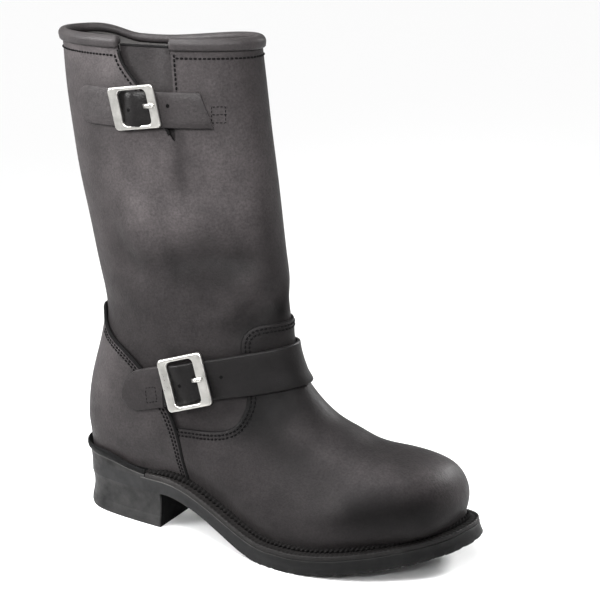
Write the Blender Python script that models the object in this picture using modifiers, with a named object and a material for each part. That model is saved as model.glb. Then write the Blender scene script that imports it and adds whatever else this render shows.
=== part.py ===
"""Pull-on engineer motorcycle boot, right foot, standing on its sole.

Metres, +Z up, toe along +X, the outer (buckle) side along -Y.
The origin is on the floor, under the middle of the heel's round back.
"""

import math

import bmesh
import bpy
import numpy as np
from mathutils import Vector
from mathutils.bvhtree import BVHTree

MM = 0.001

# Driving sizes
LENGTH = 303 * MM            # outsole, back of heel to tip of toe
BALL_WIDTH = 113 * MM        # outsole, across the ball
HEEL_HEIGHT = 26 * MM        # heel block, floor to the underside of the outsole
COLLAR_HEIGHT = 346 * MM     # floor to the top of the rolled collar
OUTSOLE = 9.5 * MM           # thickness of the outsole
WELT = 3.5 * MM              # thickness of the welt
WALL = 2.4 * MM              # leather and lining of the upper
GAP = 0.3 * MM               # play between pieces that meet
FOOT_GAP = 0.7 * MM          # the upper's lower edge over the welt

# Places along the sole, in front of the heel's centre
TOE_TIP = 267 * MM
HEEL_BACK = TOE_TIP - LENGTH
HEEL_BREAST = 44 * MM
BALL_REAR = 140 * MM         # the flat tread under the ball starts here
BALL_FRONT = 158 * MM        # and the toe spring starts here
TOE_SPRING = 17 * MM
SPRING_POWER = 1.35

WELT_REACH = 10.5 * MM        # welt showing outside the upper, at the forefoot
HEEL_REACH = 4.0 * MM        # and at the heel
REACH_FROM = -10 * MM        # it widens from here
REACH_RUN = 80 * MM
SOLE_FLARE = 2.5 * MM        # at the forefoot the tread is this much wider than the welt
WELT_EDGE = 0.5 * MM         # the welt stops this far inside the outsole
LASTING = 3.6 * MM           # welt under the foot of the upper
RAND_END = 31 * MM           # the heel rand gives way to the welt here
RAND_LIP = 6 * MM            # height of the rand's lip over the welt, at the back
LIP_FROM = -10 * MM          # it dies away from here

VAMP = 1.8 * MM              # leather of the vamp, over the upper
COUNTER = 2.2 * MM           # leather of the heel counter, over the upper

STRAP = 2.6 * MM             # leather of the straps
STRAP_EDGE = 0.7 * MM        # their edges are rounded by this

# Finishes: colour, roughness, metallic
LEATHER = ((0.035, 0.033, 0.034), 0.6, 0.0)
RUBBER = ((0.03, 0.03, 0.031), 0.75, 0.0)
NICKEL = ((0.72, 0.71, 0.69), 0.25, 1.0)
BOARD = ((0.08, 0.06, 0.045), 0.8, 0.0)

WELD = 1e-6
SHARP_ANGLE = 40             # degrees, edges that turn more than this stay crisp
NORMAL_REACH = 3 * MM        # the upper's direction is averaged over this
SIDE_REACH = 120 * MM        # cutters pass the sides of the boot by this
WELT_CUT_STEPS = 30
SOLE_POINTS = 72
WELT_POINTS = 96
CORNER_STEPS = 3
SKIN_AXIS = 68 * MM          # level lines round the ankle start here
SKIN_TOP = 334 * MM

FLARE_FROM = 60 * MM
FLARE_RUN = 80 * MM
HEEL_STEP = 3 * MM

GUSSET = 1.4 * MM
GUSSET_DEPTH = WALL + 1.0 * MM
GUSSET_STEPS = 8
BACK_SEAM_Z = (152, 338)
BACK_SEAM_ROWS = 16
BACK_SEAM_SECTION = ((-2.6, 0.6), (2.6, 0.6), (1.4, 1.9), (-1.4, 1.9))  # across and out, millimetres

INSTEP_TURN = (-26, 206)     # degrees round the ankle, from the outer side by the front to the inner side
INSTEP_STATIONS = 38
INSTEP_HALF = 15.0 * MM
INSTEP_CLEAR = 3.0 * MM
SHAFT_STRAP_X = (25, 86)
SHAFT_STATIONS = 18
SHAFT_HALF = 11.7 * MM
SHAFT_CLEAR = 0.5 * MM
HUMP_RUN = 11 * MM
HUMP_RISE = 2.3 * MM
HUMP_TURN = 0.95             # sine of the bearing past which a strap lies flat again
LIFT_STEPS = 4
BAND_SECTION = ((-1.0, 1.0), (-0.86, 0.0), (0.0, 0.0), (0.86, 0.0), (1.0, 1.0))
CHAPE = 2.2 * MM
CHAPE_TURN = 15              # degrees, its round end starts with a short flat
CHAPE_STEPS = 5

# Side-view outlines, (x, z) in millimetres
SLIT_OUTLINE = [
    (24.5, 380), (25.4, 343), (27.5, 334), (32, 327), (38.8, 319.5), (59.7, 292), (64.5, 284),
    (66.2, 284), (65.2, 315), (63.2, 343), (63, 380),
]
# Gusset behind the slit: height, rear and front edge, millimetres
GUSSET_COLUMNS = ("z", "rear", "front")
GUSSET_ROWS = (
    (279, 55, 71), (292, 48, 71), (306, 38, 71), (320, 29, 70), (334, 20, 69), (337.6, 20, 69),
    (338.4, 27, 61.5), (342.5, 27, 61.5),
)
SLIT_DEPTH = 10 * MM         # the slit is in the outer side only
VAMP_OUTLINE = [
    (65.5, 42), (61.5, 66), (59.3, 74), (78, 74.6), (97, 77), (104.5, 80.5), (110, 87), (112.8, 97),
    (110, 118), (106.8, 139), (107.3, 146), (111, 151), (118, 154.6), (126, 156), (150, 156), (290, 156),
    (290, 30),
]
COUNTER_OUTLINE = [
    (-60, 40), (-60, 151), (-13, 151), (-9, 142), (0, 135.5), (16, 127.5), (30, 117), (38, 108.5),
    (45, 99), (52.5, 87.5), (58, 74), (60.5, 66), (64.5, 42),
]

# Heel block: share of its height, how far it stands outside the outsole
HEEL_PROFILE_COLUMNS = ("height", "out")
HEEL_PROFILE = ((0.0, 0.0), (0.05, 0.5), (0.28, 0.1), (0.62, -1.2), (0.88, -0.9), (1.0, -0.2))

# Heel rand: section as distances in from the foot of the upper, up from the outsole, share of the lip
RAND_COLUMNS = ("inset", "rise", "lip")
RAND_SECTION = (
    (3.6, 0.3, 0.0), (3.6, 3.5, 0.0), (-3.2, 3.5, 0.0), (-4.6, 3.5, 1.0), (-6.2, 3.5, 1.0),
    (-6.9, 3.5, 0.7), (-6.4, 3.5, 0.0), (-4.6, 0.3, 0.0),
)

# Rolled collar: section as distances out from the upper and up from its edge, millimetres
COLLAR_COLUMNS = ("out", "up")
COLLAR_SECTION = (
    (0.45, 0.4), (0.45, -1.8), (1.5, -1.8), (2.4, 0.4), (2.7, 2.4), (2.0, 4.6), (0.4, 6.0), (-1.6, 6.3),
    (-3.6, 5.4), (-4.6, 3.4), (-4.2, 1.4), (-2.8, 0.4),
)
SLIT_BACK = 24.5             # the collar stops at the slit, millimetres
SLIT_FRONT = 64.0

# Straps in side view, millimetres. Both wrap the upper at the middle height given by lift.
INSTEP_LIFT = (96.0, 12.0, 0.345, 0.00085)
SHAFT_LIFT = (302.0, 40.0, 0.0, 0.0)

# Leather tabs that hold the buckles: name, lift, ends along x, half width, height off the upper
CHAPES = (
    ("instep_chape", INSTEP_LIFT, (15.5, 49.8), 15.4 * MM, 3.0 * MM),
    ("shaft_chape", SHAFT_LIFT, (-11, 24), 12.8 * MM, 0.5 * MM),
)

# Buckles, millimetres: middle of the frame on the upper, slope in degrees, size along and across
# the strap, width of the rear, front and side bars, height of the frame and of the bar off the upper
BUCKLE_COLUMNS = (
    "x", "z", "slope", "along", "across", "rear", "front", "side", "height", "bar_height", "thick",
)
BUCKLES = {
    "instep_buckle": (65.0, 112.4, 17.0, 32.5, 38.8, 7.5, 5.5, 2.5, 5.9, 3.7, 2.6),
    "shaft_buckle": (38.0, 301.8, 5.0, 32.0, 30.0, 7.5, 5.5, 2.7, 3.6, 1.5, 2.4),
}

# Details of the buckles, millimetres
FRAME_CORNER = 4.0
WINDOW_CORNER = 2.0
FRAME_SOFT = 0.7             # its edges are eased by this
BAR_ALONG = 1.0              # the bar, in front of the middle of the frame
BAR_RADIUS = 0.85
BAR_SIDES = 6
PRONG_SIDES = 8
PRONG_ACROSS = 0.5
PRONG_CLEAR = 0.35
# Prong: place along the strap, half width, height
PRONG_COLUMNS = ("along", "half", "tall")
PRONG = ((1.5, 0.9, 0.9), (2.5, 1.2, 1.6), (12.0, 1.2, 1.6), (15.0, 1.0, 1.3), (15.8, 0.5, 0.8))

# Welt outline: share of LENGTH in front of the heel's centre, share of BALL_WIDTH to each side
OUTLINE_COLUMNS = ("along", "lateral", "medial")
OUTLINE = (
    (-0.107, 0.000, 0.000),
    (-0.074, 0.212, 0.212),
    (0.000, 0.292, 0.292),
    (0.145, 0.343, 0.325),
    (0.264, 0.385, 0.310),
    (0.363, 0.445, 0.355),
    (0.446, 0.505, 0.425),
    (0.528, 0.532, 0.463),
    (0.611, 0.512, 0.470),
    (0.693, 0.432, 0.452),
    (0.776, 0.290, 0.402),
    (0.832, 0.135, 0.325),
    (0.862, -0.040, 0.240),
    (0.869, -0.140, 0.140),
)


def smoothstep(share):
    share = np.clip(share, 0.0, 1.0)
    return share * share * (3 - 2 * share)


def spline(knots, values, at):
    """Natural cubic curve through the rows of values at knots, read at the places given."""
    knots = np.asarray(knots, float)
    values = np.asarray(values, float).reshape(len(knots), -1)
    at = np.atleast_1d(np.asarray(at, float))
    steps = np.diff(knots)[:, None]
    count = len(knots)
    system = np.eye(count)
    right = np.zeros_like(values)
    slopes = np.diff(values, axis=0) / steps
    for row in range(1, count - 1):
        before, after = steps[row - 1, 0], steps[row, 0]
        system[row, row - 1:row + 2] = before, 2 * (before + after), after
        right[row] = 6 * (slopes[row] - slopes[row - 1])
    bend = np.linalg.solve(system, right)
    left = np.clip(np.searchsorted(knots, at) - 1, 0, count - 2)
    step = steps[left]
    ahead = (at - knots[left])[:, None]
    behind = step - ahead
    return (
        (bend[left] * behind**3 + bend[left + 1] * ahead**3) / (6 * step)
        + (values[left] / step - bend[left] * step / 6) * behind
        + (values[left + 1] / step - bend[left + 1] * step / 6) * ahead
    )


def sole_bottom(x):
    """Height of the tread: heel seat, arch, flat ball and toe spring."""
    arch = HEEL_HEIGHT * smoothstep((BALL_REAR - x) / (BALL_REAR - HEEL_BREAST))
    ahead = np.clip((x - BALL_FRONT) / (TOE_TIP - BALL_FRONT), 0.0, None)
    return arch + TOE_SPRING * ahead**SPRING_POWER


def welt_top(x):
    return sole_bottom(x) + OUTSOLE + WELT


def welt_reach(x):
    return HEEL_REACH + (WELT_REACH - HEEL_REACH) * smoothstep((x - REACH_FROM) / REACH_RUN)


def rand_lip(x):
    """Height of the rand's lip over the welt."""
    return RAND_LIP * (1 - smoothstep((x - LIP_FROM) / (RAND_END - LIP_FROM)))


def outline_loop(inset, count=160):
    """Closed plan outline of the welt, moved in by inset; starts at the heel and runs along the outer side."""
    rows = np.array(OUTLINE) * (LENGTH, BALL_WIDTH, BALL_WIDTH)
    outer = np.stack([rows[:, 0], -rows[:, 1]], axis=1)
    inner = np.stack([rows[-2:0:-1, 0], rows[-2:0:-1, 2]], axis=1)
    corners = np.concatenate([outer, inner])
    wrapped = np.concatenate([corners[-4:], corners, corners[:5]])
    along = np.concatenate([[0.0], np.cumsum(np.linalg.norm(np.diff(wrapped, axis=0), axis=1))])
    at = np.linspace(along[4], along[4 + len(corners)], count, endpoint=False)
    loop = spline(along, wrapped, at)
    ahead = np.roll(loop, -1, axis=0) - np.roll(loop, 1, axis=0)
    inward = np.stack([-ahead[:, 1], ahead[:, 0]], axis=1)
    inward /= np.linalg.norm(inward, axis=1)[:, None]
    move = inset(loop[:, 0]) if callable(inset) else np.full(count, inset)
    return loop + move[:, None] * inward


def outline_sides(inset):
    """Two functions of x: the outline's y on the outer and on the inner side."""
    loop = outline_loop(inset, 600)
    heel, toe = loop[:, 0].argmin(), loop[:, 0].argmax()
    loop = np.roll(loop, -heel, axis=0)
    toe = (toe - heel) % len(loop)
    outer = loop[:toe + 1]
    inner = np.concatenate([loop[toe:], loop[:1]])[::-1]

    def lateral(x):
        return np.interp(x, outer[:, 0], outer[:, 1])

    def medial(x):
        return np.interp(x, inner[:, 0], inner[:, 1])

    return lateral, medial, loop[0, 0], loop[toe, 0]


# Sections of the upper, toe to collar. Each lies in a slanting plane, from a base point on the
# welt or up the back seam to a front point on the ridge of the foot or the front of the shaft.
# Millimetres. base_z None: the base is on the welt. half: greatest half width. widest: where it
# is, as a share of the way from base to front. ridge_y: sideways place of the front point.
# blunt and back: roundness of the front and of the base, 2 is an ellipse, more is boxier.
# facets: rows of facets to the next section.
SECTION_COLUMNS = (
    "front_x", "front_z", "base_x", "base_z", "half", "widest", "ridge_y", "base_y",
    "blunt", "back", "facets",
)
SECTIONS = (
    (250.5, 28.0, 222.0, None, 33.5, 0.12, 13.0, None, 2.20, 2.0, 2),
    (253.5, 42.5, 211.0, None, 37.0, 0.14, 12.0, None, 2.25, 2.0, 2),
    (250.5, 55.0, 198.0, None, 42.0, 0.18, 10.5, None, 2.30, 2.0, 2),
    (240.5, 65.0, 182.0, None, 46.7, 0.23, 8.5, None, 2.30, 2.0, 2),
    (220.0, 70.2, 160.0, None, 49.0, 0.28, 6.5, None, 2.25, 2.0, 2),
    (193.0, 75.0, 130.0, None, 46.0, 0.30, 4.5, None, 2.10, 2.0, 2),
    (167.0, 86.5, 95.0, None, 40.5, 0.33, 3.0, None, 2.00, 2.0, 2),
    (148.5, 100.5, 55.0, None, 37.5, 0.36, 1.5, None, 1.95, 2.0, 2),
    (137.0, 116.0, 10.0, None, 36.0, 0.40, 0.5, None, 1.90, 1.9, 2),
    (133.3, 125.0, -15.0, None, 36.0, 0.41, 0.0, None, 1.90, 1.85, 2),
    (131.3, 131.5, -25.5, None, 36.0, 0.42, 0.0, None, 1.90, 1.8, 1),
    (130.5, 134.5, -28.4, None, 36.0, 0.42, 0.0, 0.0, 1.90, 2.9, 2),
    (128.5, 146.0, -30.9, 64.0, 36.0, 0.45, 0.0, 0.0, 1.95, 2.8, 2),
    (127.8, 158.0, -27.0, 98.0, 36.5, 0.46, 0.0, 0.0, 2.00, 2.5, 2),
    (126.8, 174.0, -17.0, 140.0, 38.0, 0.48, 0.0, 0.0, 2.00, 2.1, 2),
    (124.0, 200.0, -21.5, 178.0, 41.0, 0.48, 0.0, 0.0, 2.00, 1.85, 1),
    (119.0, 239.0, -31.5, 229.0, 45.0, 0.46, -1.0, 0.0, 2.00, 1.75, 1),
    (113.0, 288.0, -40.5, 286.0, 46.0, 0.45, -2.0, -1.0, 2.00, 1.75, 2),
    (107.0, 342.0, -44.5, 343.0, 44.0, 0.45, -3.0, -2.0, 2.00, 1.85, 0),
)
COLLAR_DIP = 13 * MM         # the collar sags on the inner side
SAG_FROM = 280 * MM          # and the sag dies away down to here
HEEL_SECTION = 11            # its base is the back of the heel, where the back seam starts
STEEP = 0.8                  # facets are even up the wall where the base is wider than this share
BULGE = 1.8                  # the wall stands up from the welt, then bulges out to its widest
EVEN_TO = 5                  # sections from the toe to this one have evenly spaced facets
DENSE = 6                    # points worked out for each facet
LOWER_STEPS = 5              # facets from the base to the widest place, each side
UPPER_STEPS = 7              # and from there to the front


def toe_edge(start, shares):
    """Lower edge of the upper round the toe, in front of start, at shares of its length."""
    loop = outline_loop(welt_reach, 1200)
    loop = loop[loop[:, 0] > start]
    along = np.concatenate([[0.0], np.cumsum(np.linalg.norm(np.diff(loop, axis=0), axis=1))])
    at = np.concatenate([[0.0], shares]) * along[-1]
    x = np.interp(at, along, loop[:, 0])
    y = np.interp(at, along, loop[:, 1])
    return np.stack([x, y, welt_top(x) + FOOT_GAP], axis=1)


def respaced(line, even):
    """Every DENSE-th point of a section, moved along it: even 0 leaves them, 1 spaces them evenly."""
    along = np.concatenate([[0.0], np.cumsum(np.linalg.norm(np.diff(line, axis=0), axis=1))])
    marks = along[::DENSE]
    want = (1 - even) * marks + even * np.linspace(0.0, along[-1], len(marks))
    return np.stack([np.interp(want, along, line[:, k]) for k in range(3)], axis=1)


def section_places(fine):
    """Places of the rows of facets along the table."""
    places = []
    for place, row in enumerate(SECTIONS):
        facets = row[SECTION_COLUMNS.index("facets")] * fine
        places += [place + step / facets for step in range(facets)]
    return np.array(places + [len(SECTIONS) - 1])


def upper_grid(fine=1):
    """Points of the upper's outside: one row for each section, outer side to inner side."""
    columns = {name: [] for name in SECTION_COLUMNS}
    for row in SECTIONS:
        for name, value in zip(SECTION_COLUMNS, row):
            columns[name].append(value)
    knots = np.arange(len(SECTIONS), dtype=float)
    places = section_places(fine)
    smooth = {
        name: spline(knots, columns[name], places)[:, 0]
        for name in ("front_x", "front_z", "half", "widest", "ridge_y", "blunt", "back")
    }
    heel = HEEL_SECTION
    sole_x = spline(knots[:heel + 1], columns["base_x"][:heel + 1], np.minimum(places, heel))[:, 0]
    heel_z = (welt_top(columns["base_x"][heel] * MM) + FOOT_GAP) / MM
    back_z = [heel_z] + columns["base_z"][heel + 1:]
    seam = np.stack([columns["base_x"][heel:], columns["base_y"][heel:], back_z], axis=1)
    seam = spline(knots[heel:], seam, np.maximum(places, heel))
    lateral, medial, rear, _ = outline_sides(welt_reach)
    low = np.linspace(0.0, math.pi / 2, LOWER_STEPS * fine * DENSE + 1)[:-1]
    high = np.linspace(0.0, math.pi / 2, UPPER_STEPS * fine * DENSE + 1)
    grid = []
    for i, place in enumerate(places):
        front = np.array([smooth["front_x"][i], smooth["front_z"][i]]) * MM
        if place < heel:
            x = max(sole_x[i] * MM, rear)
            base = np.array([x, welt_top(x) + FOOT_GAP])
            middle = (lateral(x) + medial(x)) / 2
            start = (medial(x) - lateral(x)) / 2
        else:
            base, middle, start = seam[i, [0, 2]] * MM, seam[i, 1] * MM, 0.0
        half = smooth["half"][i] * MM
        widest = smooth["widest"][i]
        blunt, back = 2 / smooth["blunt"][i], 2 / smooth["back"][i]
        steady = np.clip(start / (STEEP * half), 0.0, 1.0)
        rise = steady * low / (math.pi / 2) + (1 - steady) * (1 - np.cos(low))
        share = np.concatenate(
            [widest * rise, widest + (1 - widest) * np.abs(np.sin(high))**blunt]
        )
        wide = half * np.concatenate([np.sin(low)**back, np.abs(np.cos(high))**blunt])
        wide[-1] = 0.0
        axis = middle + (smooth["ridge_y"][i] * MM - middle) * share
        xs = base[0] + (front[0] - base[0]) * share
        zs = np.maximum(base[1] + (front[1] - base[1]) * share, welt_top(xs) + FOOT_GAP)
        outer_y, inner_y = axis - wide, axis + wide
        foot = slice(0, len(low))
        lean = np.sin(rise * math.pi / 2)**BULGE
        on_welt = np.clip(heel + 1 - place, 0.0, 1.0)
        for line, edge, side in ((outer_y, lateral, -half), (inner_y, medial, half)):
            straight = edge(xs[foot]) * (1 - lean) + (axis[foot] + side) * lean
            line[foot] = on_welt * straight + (1 - on_welt) * line[foot]
        sag = COLLAR_DIP * smoothstep((front[1] - SAG_FROM) / (COLLAR_HEIGHT - SAG_FROM))
        sag = sag * (1 - share) * (wide / half)**2
        even = 1 - smoothstep(place / EVEN_TO)
        outer = respaced(np.stack([xs, outer_y, zs], axis=1), even)
        inner = respaced(np.stack([xs, inner_y, zs - sag], axis=1), even)
        grid.append(np.concatenate([outer, inner[-2::-1]]))
    edges = np.linalg.norm(np.diff(grid[1], axis=0), axis=1)
    grid[0] = toe_edge(SECTIONS[0][SECTION_COLUMNS.index("base_x")] * MM, np.cumsum(edges) / edges.sum())
    return np.array(grid)


def clear_scene():
    for obj in list(bpy.data.objects):
        bpy.data.objects.remove(obj, do_unlink=True)


def new_collection(name):
    collection = bpy.data.collections.new(name)
    bpy.context.scene.collection.children.link(collection)
    return collection


def new_object(name, bm, collection, finish=None):
    mesh = bpy.data.meshes.new(name)
    bm.to_mesh(mesh)
    bm.free()
    obj = bpy.data.objects.new(name, mesh)
    collection.objects.link(obj)
    if finish is None:
        obj.hide_render = True
        obj.display_type = "WIRE"
        return obj
    colour, roughness, metallic = finish
    material = bpy.data.materials.new(name)
    material.use_nodes = True
    shader = material.node_tree.nodes["Principled BSDF"]
    shader.inputs["Base Color"].default_value = (*colour, 1.0)
    shader.inputs["Roughness"].default_value = roughness
    shader.inputs["Metallic"].default_value = metallic
    mesh.materials.append(material)
    mesh.shade_smooth()
    mesh.set_sharp_from_angle(angle=math.radians(SHARP_ANGLE))
    return obj


def sheet(grid):
    """Triangles over a grid of points, with doubled points welded."""
    bm = bmesh.new()
    verts = [[bm.verts.new(point) for point in row] for row in grid]
    for first, second in zip(verts, verts[1:]):
        quads = list(zip(first, first[1:], second[1:], second))
        for k, (a, b, c, d) in enumerate(quads):
            outer_side = k < len(quads) // 2
            bm.faces.new((a, b, c) if outer_side else (a, b, d))
            bm.faces.new((a, c, d) if outer_side else (b, c, d))
    bmesh.ops.remove_doubles(bm, verts=bm.verts, dist=WELD)
    bm.normal_update()
    return bm


def loft(rings):
    """Solid through rings of points, closed at both ends."""
    bm = bmesh.new()
    loops = [[bm.verts.new(point) for point in ring] for ring in rings]
    for first, second in zip(loops, loops[1:]):
        turned = zip(first, first[1:] + first[:1], second[1:] + second[:1], second)
        for corners in turned:
            bm.faces.new(corners)
    bm.faces.new(loops[0][::-1])
    bm.faces.new(loops[-1])
    bmesh.ops.recalc_face_normals(bm, faces=bm.faces)
    return bm


def tube(rings):
    """Solid ring through rings of points, the last joined to the first."""
    bm = bmesh.new()
    loops = [[bm.verts.new(point) for point in ring] for ring in rings]
    for first, second in zip(loops, loops[1:] + loops[:1]):
        for corners in zip(first, first[1:] + first[:1], second[1:] + second[:1], second):
            bm.faces.new(corners)
    bmesh.ops.recalc_face_normals(bm, faces=bm.faces)
    return bm


def slab(low, high):
    """Solid between two grids of points."""
    rings = []
    for under, over in zip(low, high):
        rings.append([*under, *over[::-1]])
    return loft(rings)


def prism(outline, near, far):
    """Side-view outline of (x, z) in millimetres, carried from y near to y far."""
    rings = []
    for y in (near, far):
        rings.append([(x * MM, y, z * MM) for x, z in outline])
    return loft(rings)


def boolean(obj, cutter, operation):
    cut = obj.modifiers.new(cutter.name, "BOOLEAN")
    cut.object = cutter
    cut.operation = operation
    cut.solver = "EXACT"


class Skin:
    """The outside of the upper, for placing pieces on it."""

    def __init__(self):
        bm = sheet(upper_grid(fine=4))
        self.tree = BVHTree.FromBMesh(bm)
        bm.free()

    def hit(self, x, z, bearing):
        """Point and outward normal where a level line from (x, 0, z) leaves the upper."""
        ahead = Vector((math.sin(bearing), -math.cos(bearing), 0.0))
        beside = Vector((math.cos(bearing), math.sin(bearing), 0.0))
        start = Vector((x, 0.0, z))
        point, normal, _, _ = self.tree.ray_cast(start, ahead)
        total = Vector()
        for shift, rise in ((0, 0), (1, 0), (-1, 0), (0, 1), (0, -1)):
            place = start + NORMAL_REACH * (shift * beside + rise * Vector((0.0, 0.0, 1.0)))
            _, near, _, _ = self.tree.ray_cast(place, ahead)
            total += near if near.dot(ahead) > 0 else -near
        return np.array(point), np.array(total.normalized())


def shell(name, low, high, collection, finish):
    """Layer over the upper, between two distances from it, before it is cut to its outline."""
    bm = sheet(upper_grid())
    for vert, normal in [(vert, vert.normal.copy()) for vert in bm.verts]:
        vert.co += low * normal
    obj = new_object(name, bm, collection, finish)
    solid = obj.modifiers.new("thickness", "SOLIDIFY")
    solid.thickness = high - low
    solid.offset = 1
    return obj


def make_upper(parts, cutters):
    upper = new_object("upper", sheet(upper_grid()), parts, LEATHER)
    wall = upper.modifiers.new("wall", "SOLIDIFY")
    wall.thickness = WALL
    wall.offset = -1
    slit = new_object("slit", prism(SLIT_OUTLINE, -SIDE_REACH, -SLIT_DEPTH), cutters)
    boolean(upper, slit, "DIFFERENCE")


def above_welt(outline):
    """Outline closed along the top of the welt and rand, from its last point back to its first."""
    xs = np.linspace(outline[-1][0], outline[0][0], WELT_CUT_STEPS)
    return outline + [(x, (welt_top(x * MM) + rand_lip(x * MM) + 2 * GAP) / MM) for x in xs]


def make_vamp(parts, cutters):
    vamp = shell("vamp", GAP, GAP + VAMP, parts, LEATHER)
    cutter = new_object("vamp_outline", prism(above_welt(VAMP_OUTLINE), -SIDE_REACH, SIDE_REACH), cutters)
    boolean(vamp, cutter, "INTERSECT")


def make_counter(parts, cutters):
    counter = shell("heel_counter", GAP, GAP + COUNTER, parts, LEATHER)
    cutter = new_object("counter_outline", prism(above_welt(COUNTER_OUTLINE), -SIDE_REACH, SIDE_REACH), cutters)
    boolean(counter, cutter, "INTERSECT")


def plate(loops):
    """Solid through closed plan outlines, bottom to top, faced by strips from side to side."""
    bm = bmesh.new()
    rings = [[bm.verts.new(point) for point in loop] for loop in loops]
    count = len(rings[0])
    for first, second in zip(rings, rings[1:]):
        for corners in zip(first, first[1:] + first[:1], second[1:] + second[:1], second):
            bm.faces.new(corners)
    for ring in (rings[0], rings[-1]):
        for k in range(count // 2):
            corners = (ring[k], ring[k + 1], ring[-k - 1], ring[-k] if k else None)
            used = []
            for corner in corners:
                if corner is not None and corner not in used:
                    used.append(corner)
            bm.faces.new(used)
    bmesh.ops.recalc_face_normals(bm, faces=bm.faces)
    return bm


def raised(loop, height):
    """Plan outline with a height for each of its points."""
    return [(x, y, float(height(x))) for x, y in loop]


def sole_flare(x):
    return -SOLE_FLARE * smoothstep((x - FLARE_FROM) / FLARE_RUN)


def make_outsole(parts):
    bottom = outline_loop(sole_flare, SOLE_POINTS)
    top = outline_loop(0.0, SOLE_POINTS)
    loops = [raised(bottom, sole_bottom), raised(top, lambda x: sole_bottom(x) + OUTSOLE)]
    new_object("outsole", plate(loops), parts, RUBBER)


def round_back(loop, limit):
    """Indices of the outline's points behind limit, in order from the inner side round the heel."""
    behind = np.flatnonzero(loop[:, 0] < limit)
    return np.roll(behind, -1 - int(np.argmax(np.diff(behind) > 1)))


def make_heel(parts):
    loops = []
    for height, out in HEEL_PROFILE:
        loop = outline_loop(-out * MM, SOLE_POINTS)
        lateral, medial, _, _ = outline_sides(-out * MM)
        inner_end = (HEEL_BREAST, float(medial(HEEL_BREAST)))
        outer_end = (HEEL_BREAST, float(lateral(HEEL_BREAST)))
        plan = [inner_end, *loop[round_back(loop, HEEL_BREAST - HEEL_STEP)], outer_end]
        z = height * (HEEL_HEIGHT - GAP)
        loops.append([(x, y, z) for x, y in plan])
    new_object("heel", loft(loops), parts, RUBBER)


def make_insole(parts):
    loop = outline_loop(lambda x: welt_reach(x) + LASTING + 2 * GAP, SOLE_POINTS)
    loops = [
        raised(loop, lambda x: sole_bottom(x) + OUTSOLE + GAP),
        raised(loop, lambda x: welt_top(x) - GAP),
    ]
    new_object("insole", plate(loops), parts, BOARD)


def make_welt(parts):
    outer = outline_loop(WELT_EDGE, WELT_POINTS)
    inner = outline_loop(lambda x: welt_reach(x) + LASTING, WELT_POINTS)
    rings = []
    for k in np.flatnonzero(outline_loop(0.0, WELT_POINTS)[:, 0] > RAND_END):
        ring = []
        for (x, y), rise in ((outer[k], GAP), (outer[k], WELT), (inner[k], WELT), (inner[k], GAP)):
            ring.append((x, y, float(sole_bottom(x)) + OUTSOLE + rise))
        rings.append(ring)
    new_object("welt", loft(rings), parts, LEATHER)


def make_rand(parts):
    loops = []
    for inset, _, _ in RAND_SECTION:
        loops.append(outline_loop(lambda x, inset=inset: welt_reach(x) + inset * MM, WELT_POINTS))
    rings = []
    for k in round_back(outline_loop(0.0, WELT_POINTS), RAND_END - WELT_EDGE):
        ring = []
        for loop, (_, rise, share) in zip(loops, RAND_SECTION):
            x, y = loop[k]
            lip = share * (float(rand_lip(x)) + GAP)
            ring.append((x, y, float(sole_bottom(x)) + OUTSOLE + rise * MM + lip))
        rings.append(ring)
    new_object("heel_rand", loft(rings), parts, RUBBER)


def make_collar(parts):
    grid = upper_grid()
    edge, below = grid[-1][:-1], grid[-2][:-1]
    half = len(edge) // 2
    stops = []
    for x in (SLIT_BACK, SLIT_FRONT):
        stops.append(float(np.interp(x * MM, edge[:half, 0], np.arange(half))))
    places = [stops[1], *range(int(stops[1]) + 1, len(edge)), *range(int(stops[0]) + 1), stops[0]]
    count = len(edge)
    rings = []
    for place in places:
        k, part = int(place), place - int(place)
        here = edge[k] * (1 - part) + edge[(k + 1) % count] * part
        under = below[k] * (1 - part) + below[(k + 1) % count] * part
        run = edge[(k + 1) % count] - edge[k - (0 if part else 1)]
        out = np.array([run[1], -run[0], 0.0])
        out /= np.linalg.norm(out)
        up = (here - under) / np.linalg.norm(here - under)
        rings.append([here + out * a * MM + up * b * MM for a, b in COLLAR_SECTION])
    new_object("collar_binding", loft(rings), parts, LEATHER)


def make_gusset(parts, skin):
    low, high = [], []
    for z, rear, front in GUSSET_ROWS:
        under, over = [], []
        for x in np.linspace(rear, front, GUSSET_STEPS) * MM:
            point, normal = skin.hit(x, min(z * MM, SKIN_TOP), 0.0)
            point[2] = z * MM
            under.append(point - (GUSSET_DEPTH + GUSSET) * normal)
            over.append(point - GUSSET_DEPTH * normal)
        low.append(under)
        high.append(over)
    new_object("gusset", slab(low, high), parts, LEATHER)


def make_back_seam(parts, skin):
    rings = []
    for z in np.linspace(*BACK_SEAM_Z, BACK_SEAM_ROWS) * MM:
        point, normal = skin.hit(SKIN_AXIS, z, -math.pi / 2)
        side = np.array([0.0, 1.0, 0.0])
        ring = []
        for across, out in BACK_SEAM_SECTION:
            ring.append(point + side * across * MM + normal * out * MM)
        rings.append(ring)
    new_object("back_seam", loft(rings), parts, LEATHER)


def lift_at(lift, x):
    """Middle height of a strap at x, both in metres."""
    base, start, slope, droop = lift
    ahead = x / MM - start
    return (base + slope * ahead - droop * ahead**2) * MM


def hump(name, x, z):
    """How far a strap is lifted where it passes over the bar of a buckle."""
    size = dict(zip(BUCKLE_COLUMNS, BUCKLES[name]))
    slope = math.radians(size["slope"])
    along = (x / MM - size["x"]) * math.cos(slope) + (z / MM - size["z"]) * math.sin(slope)
    share = min(abs(along - BAR_ALONG) * MM / HUMP_RUN, 1.0)
    return HUMP_RISE * math.cos(share * math.pi / 2)**2


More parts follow.
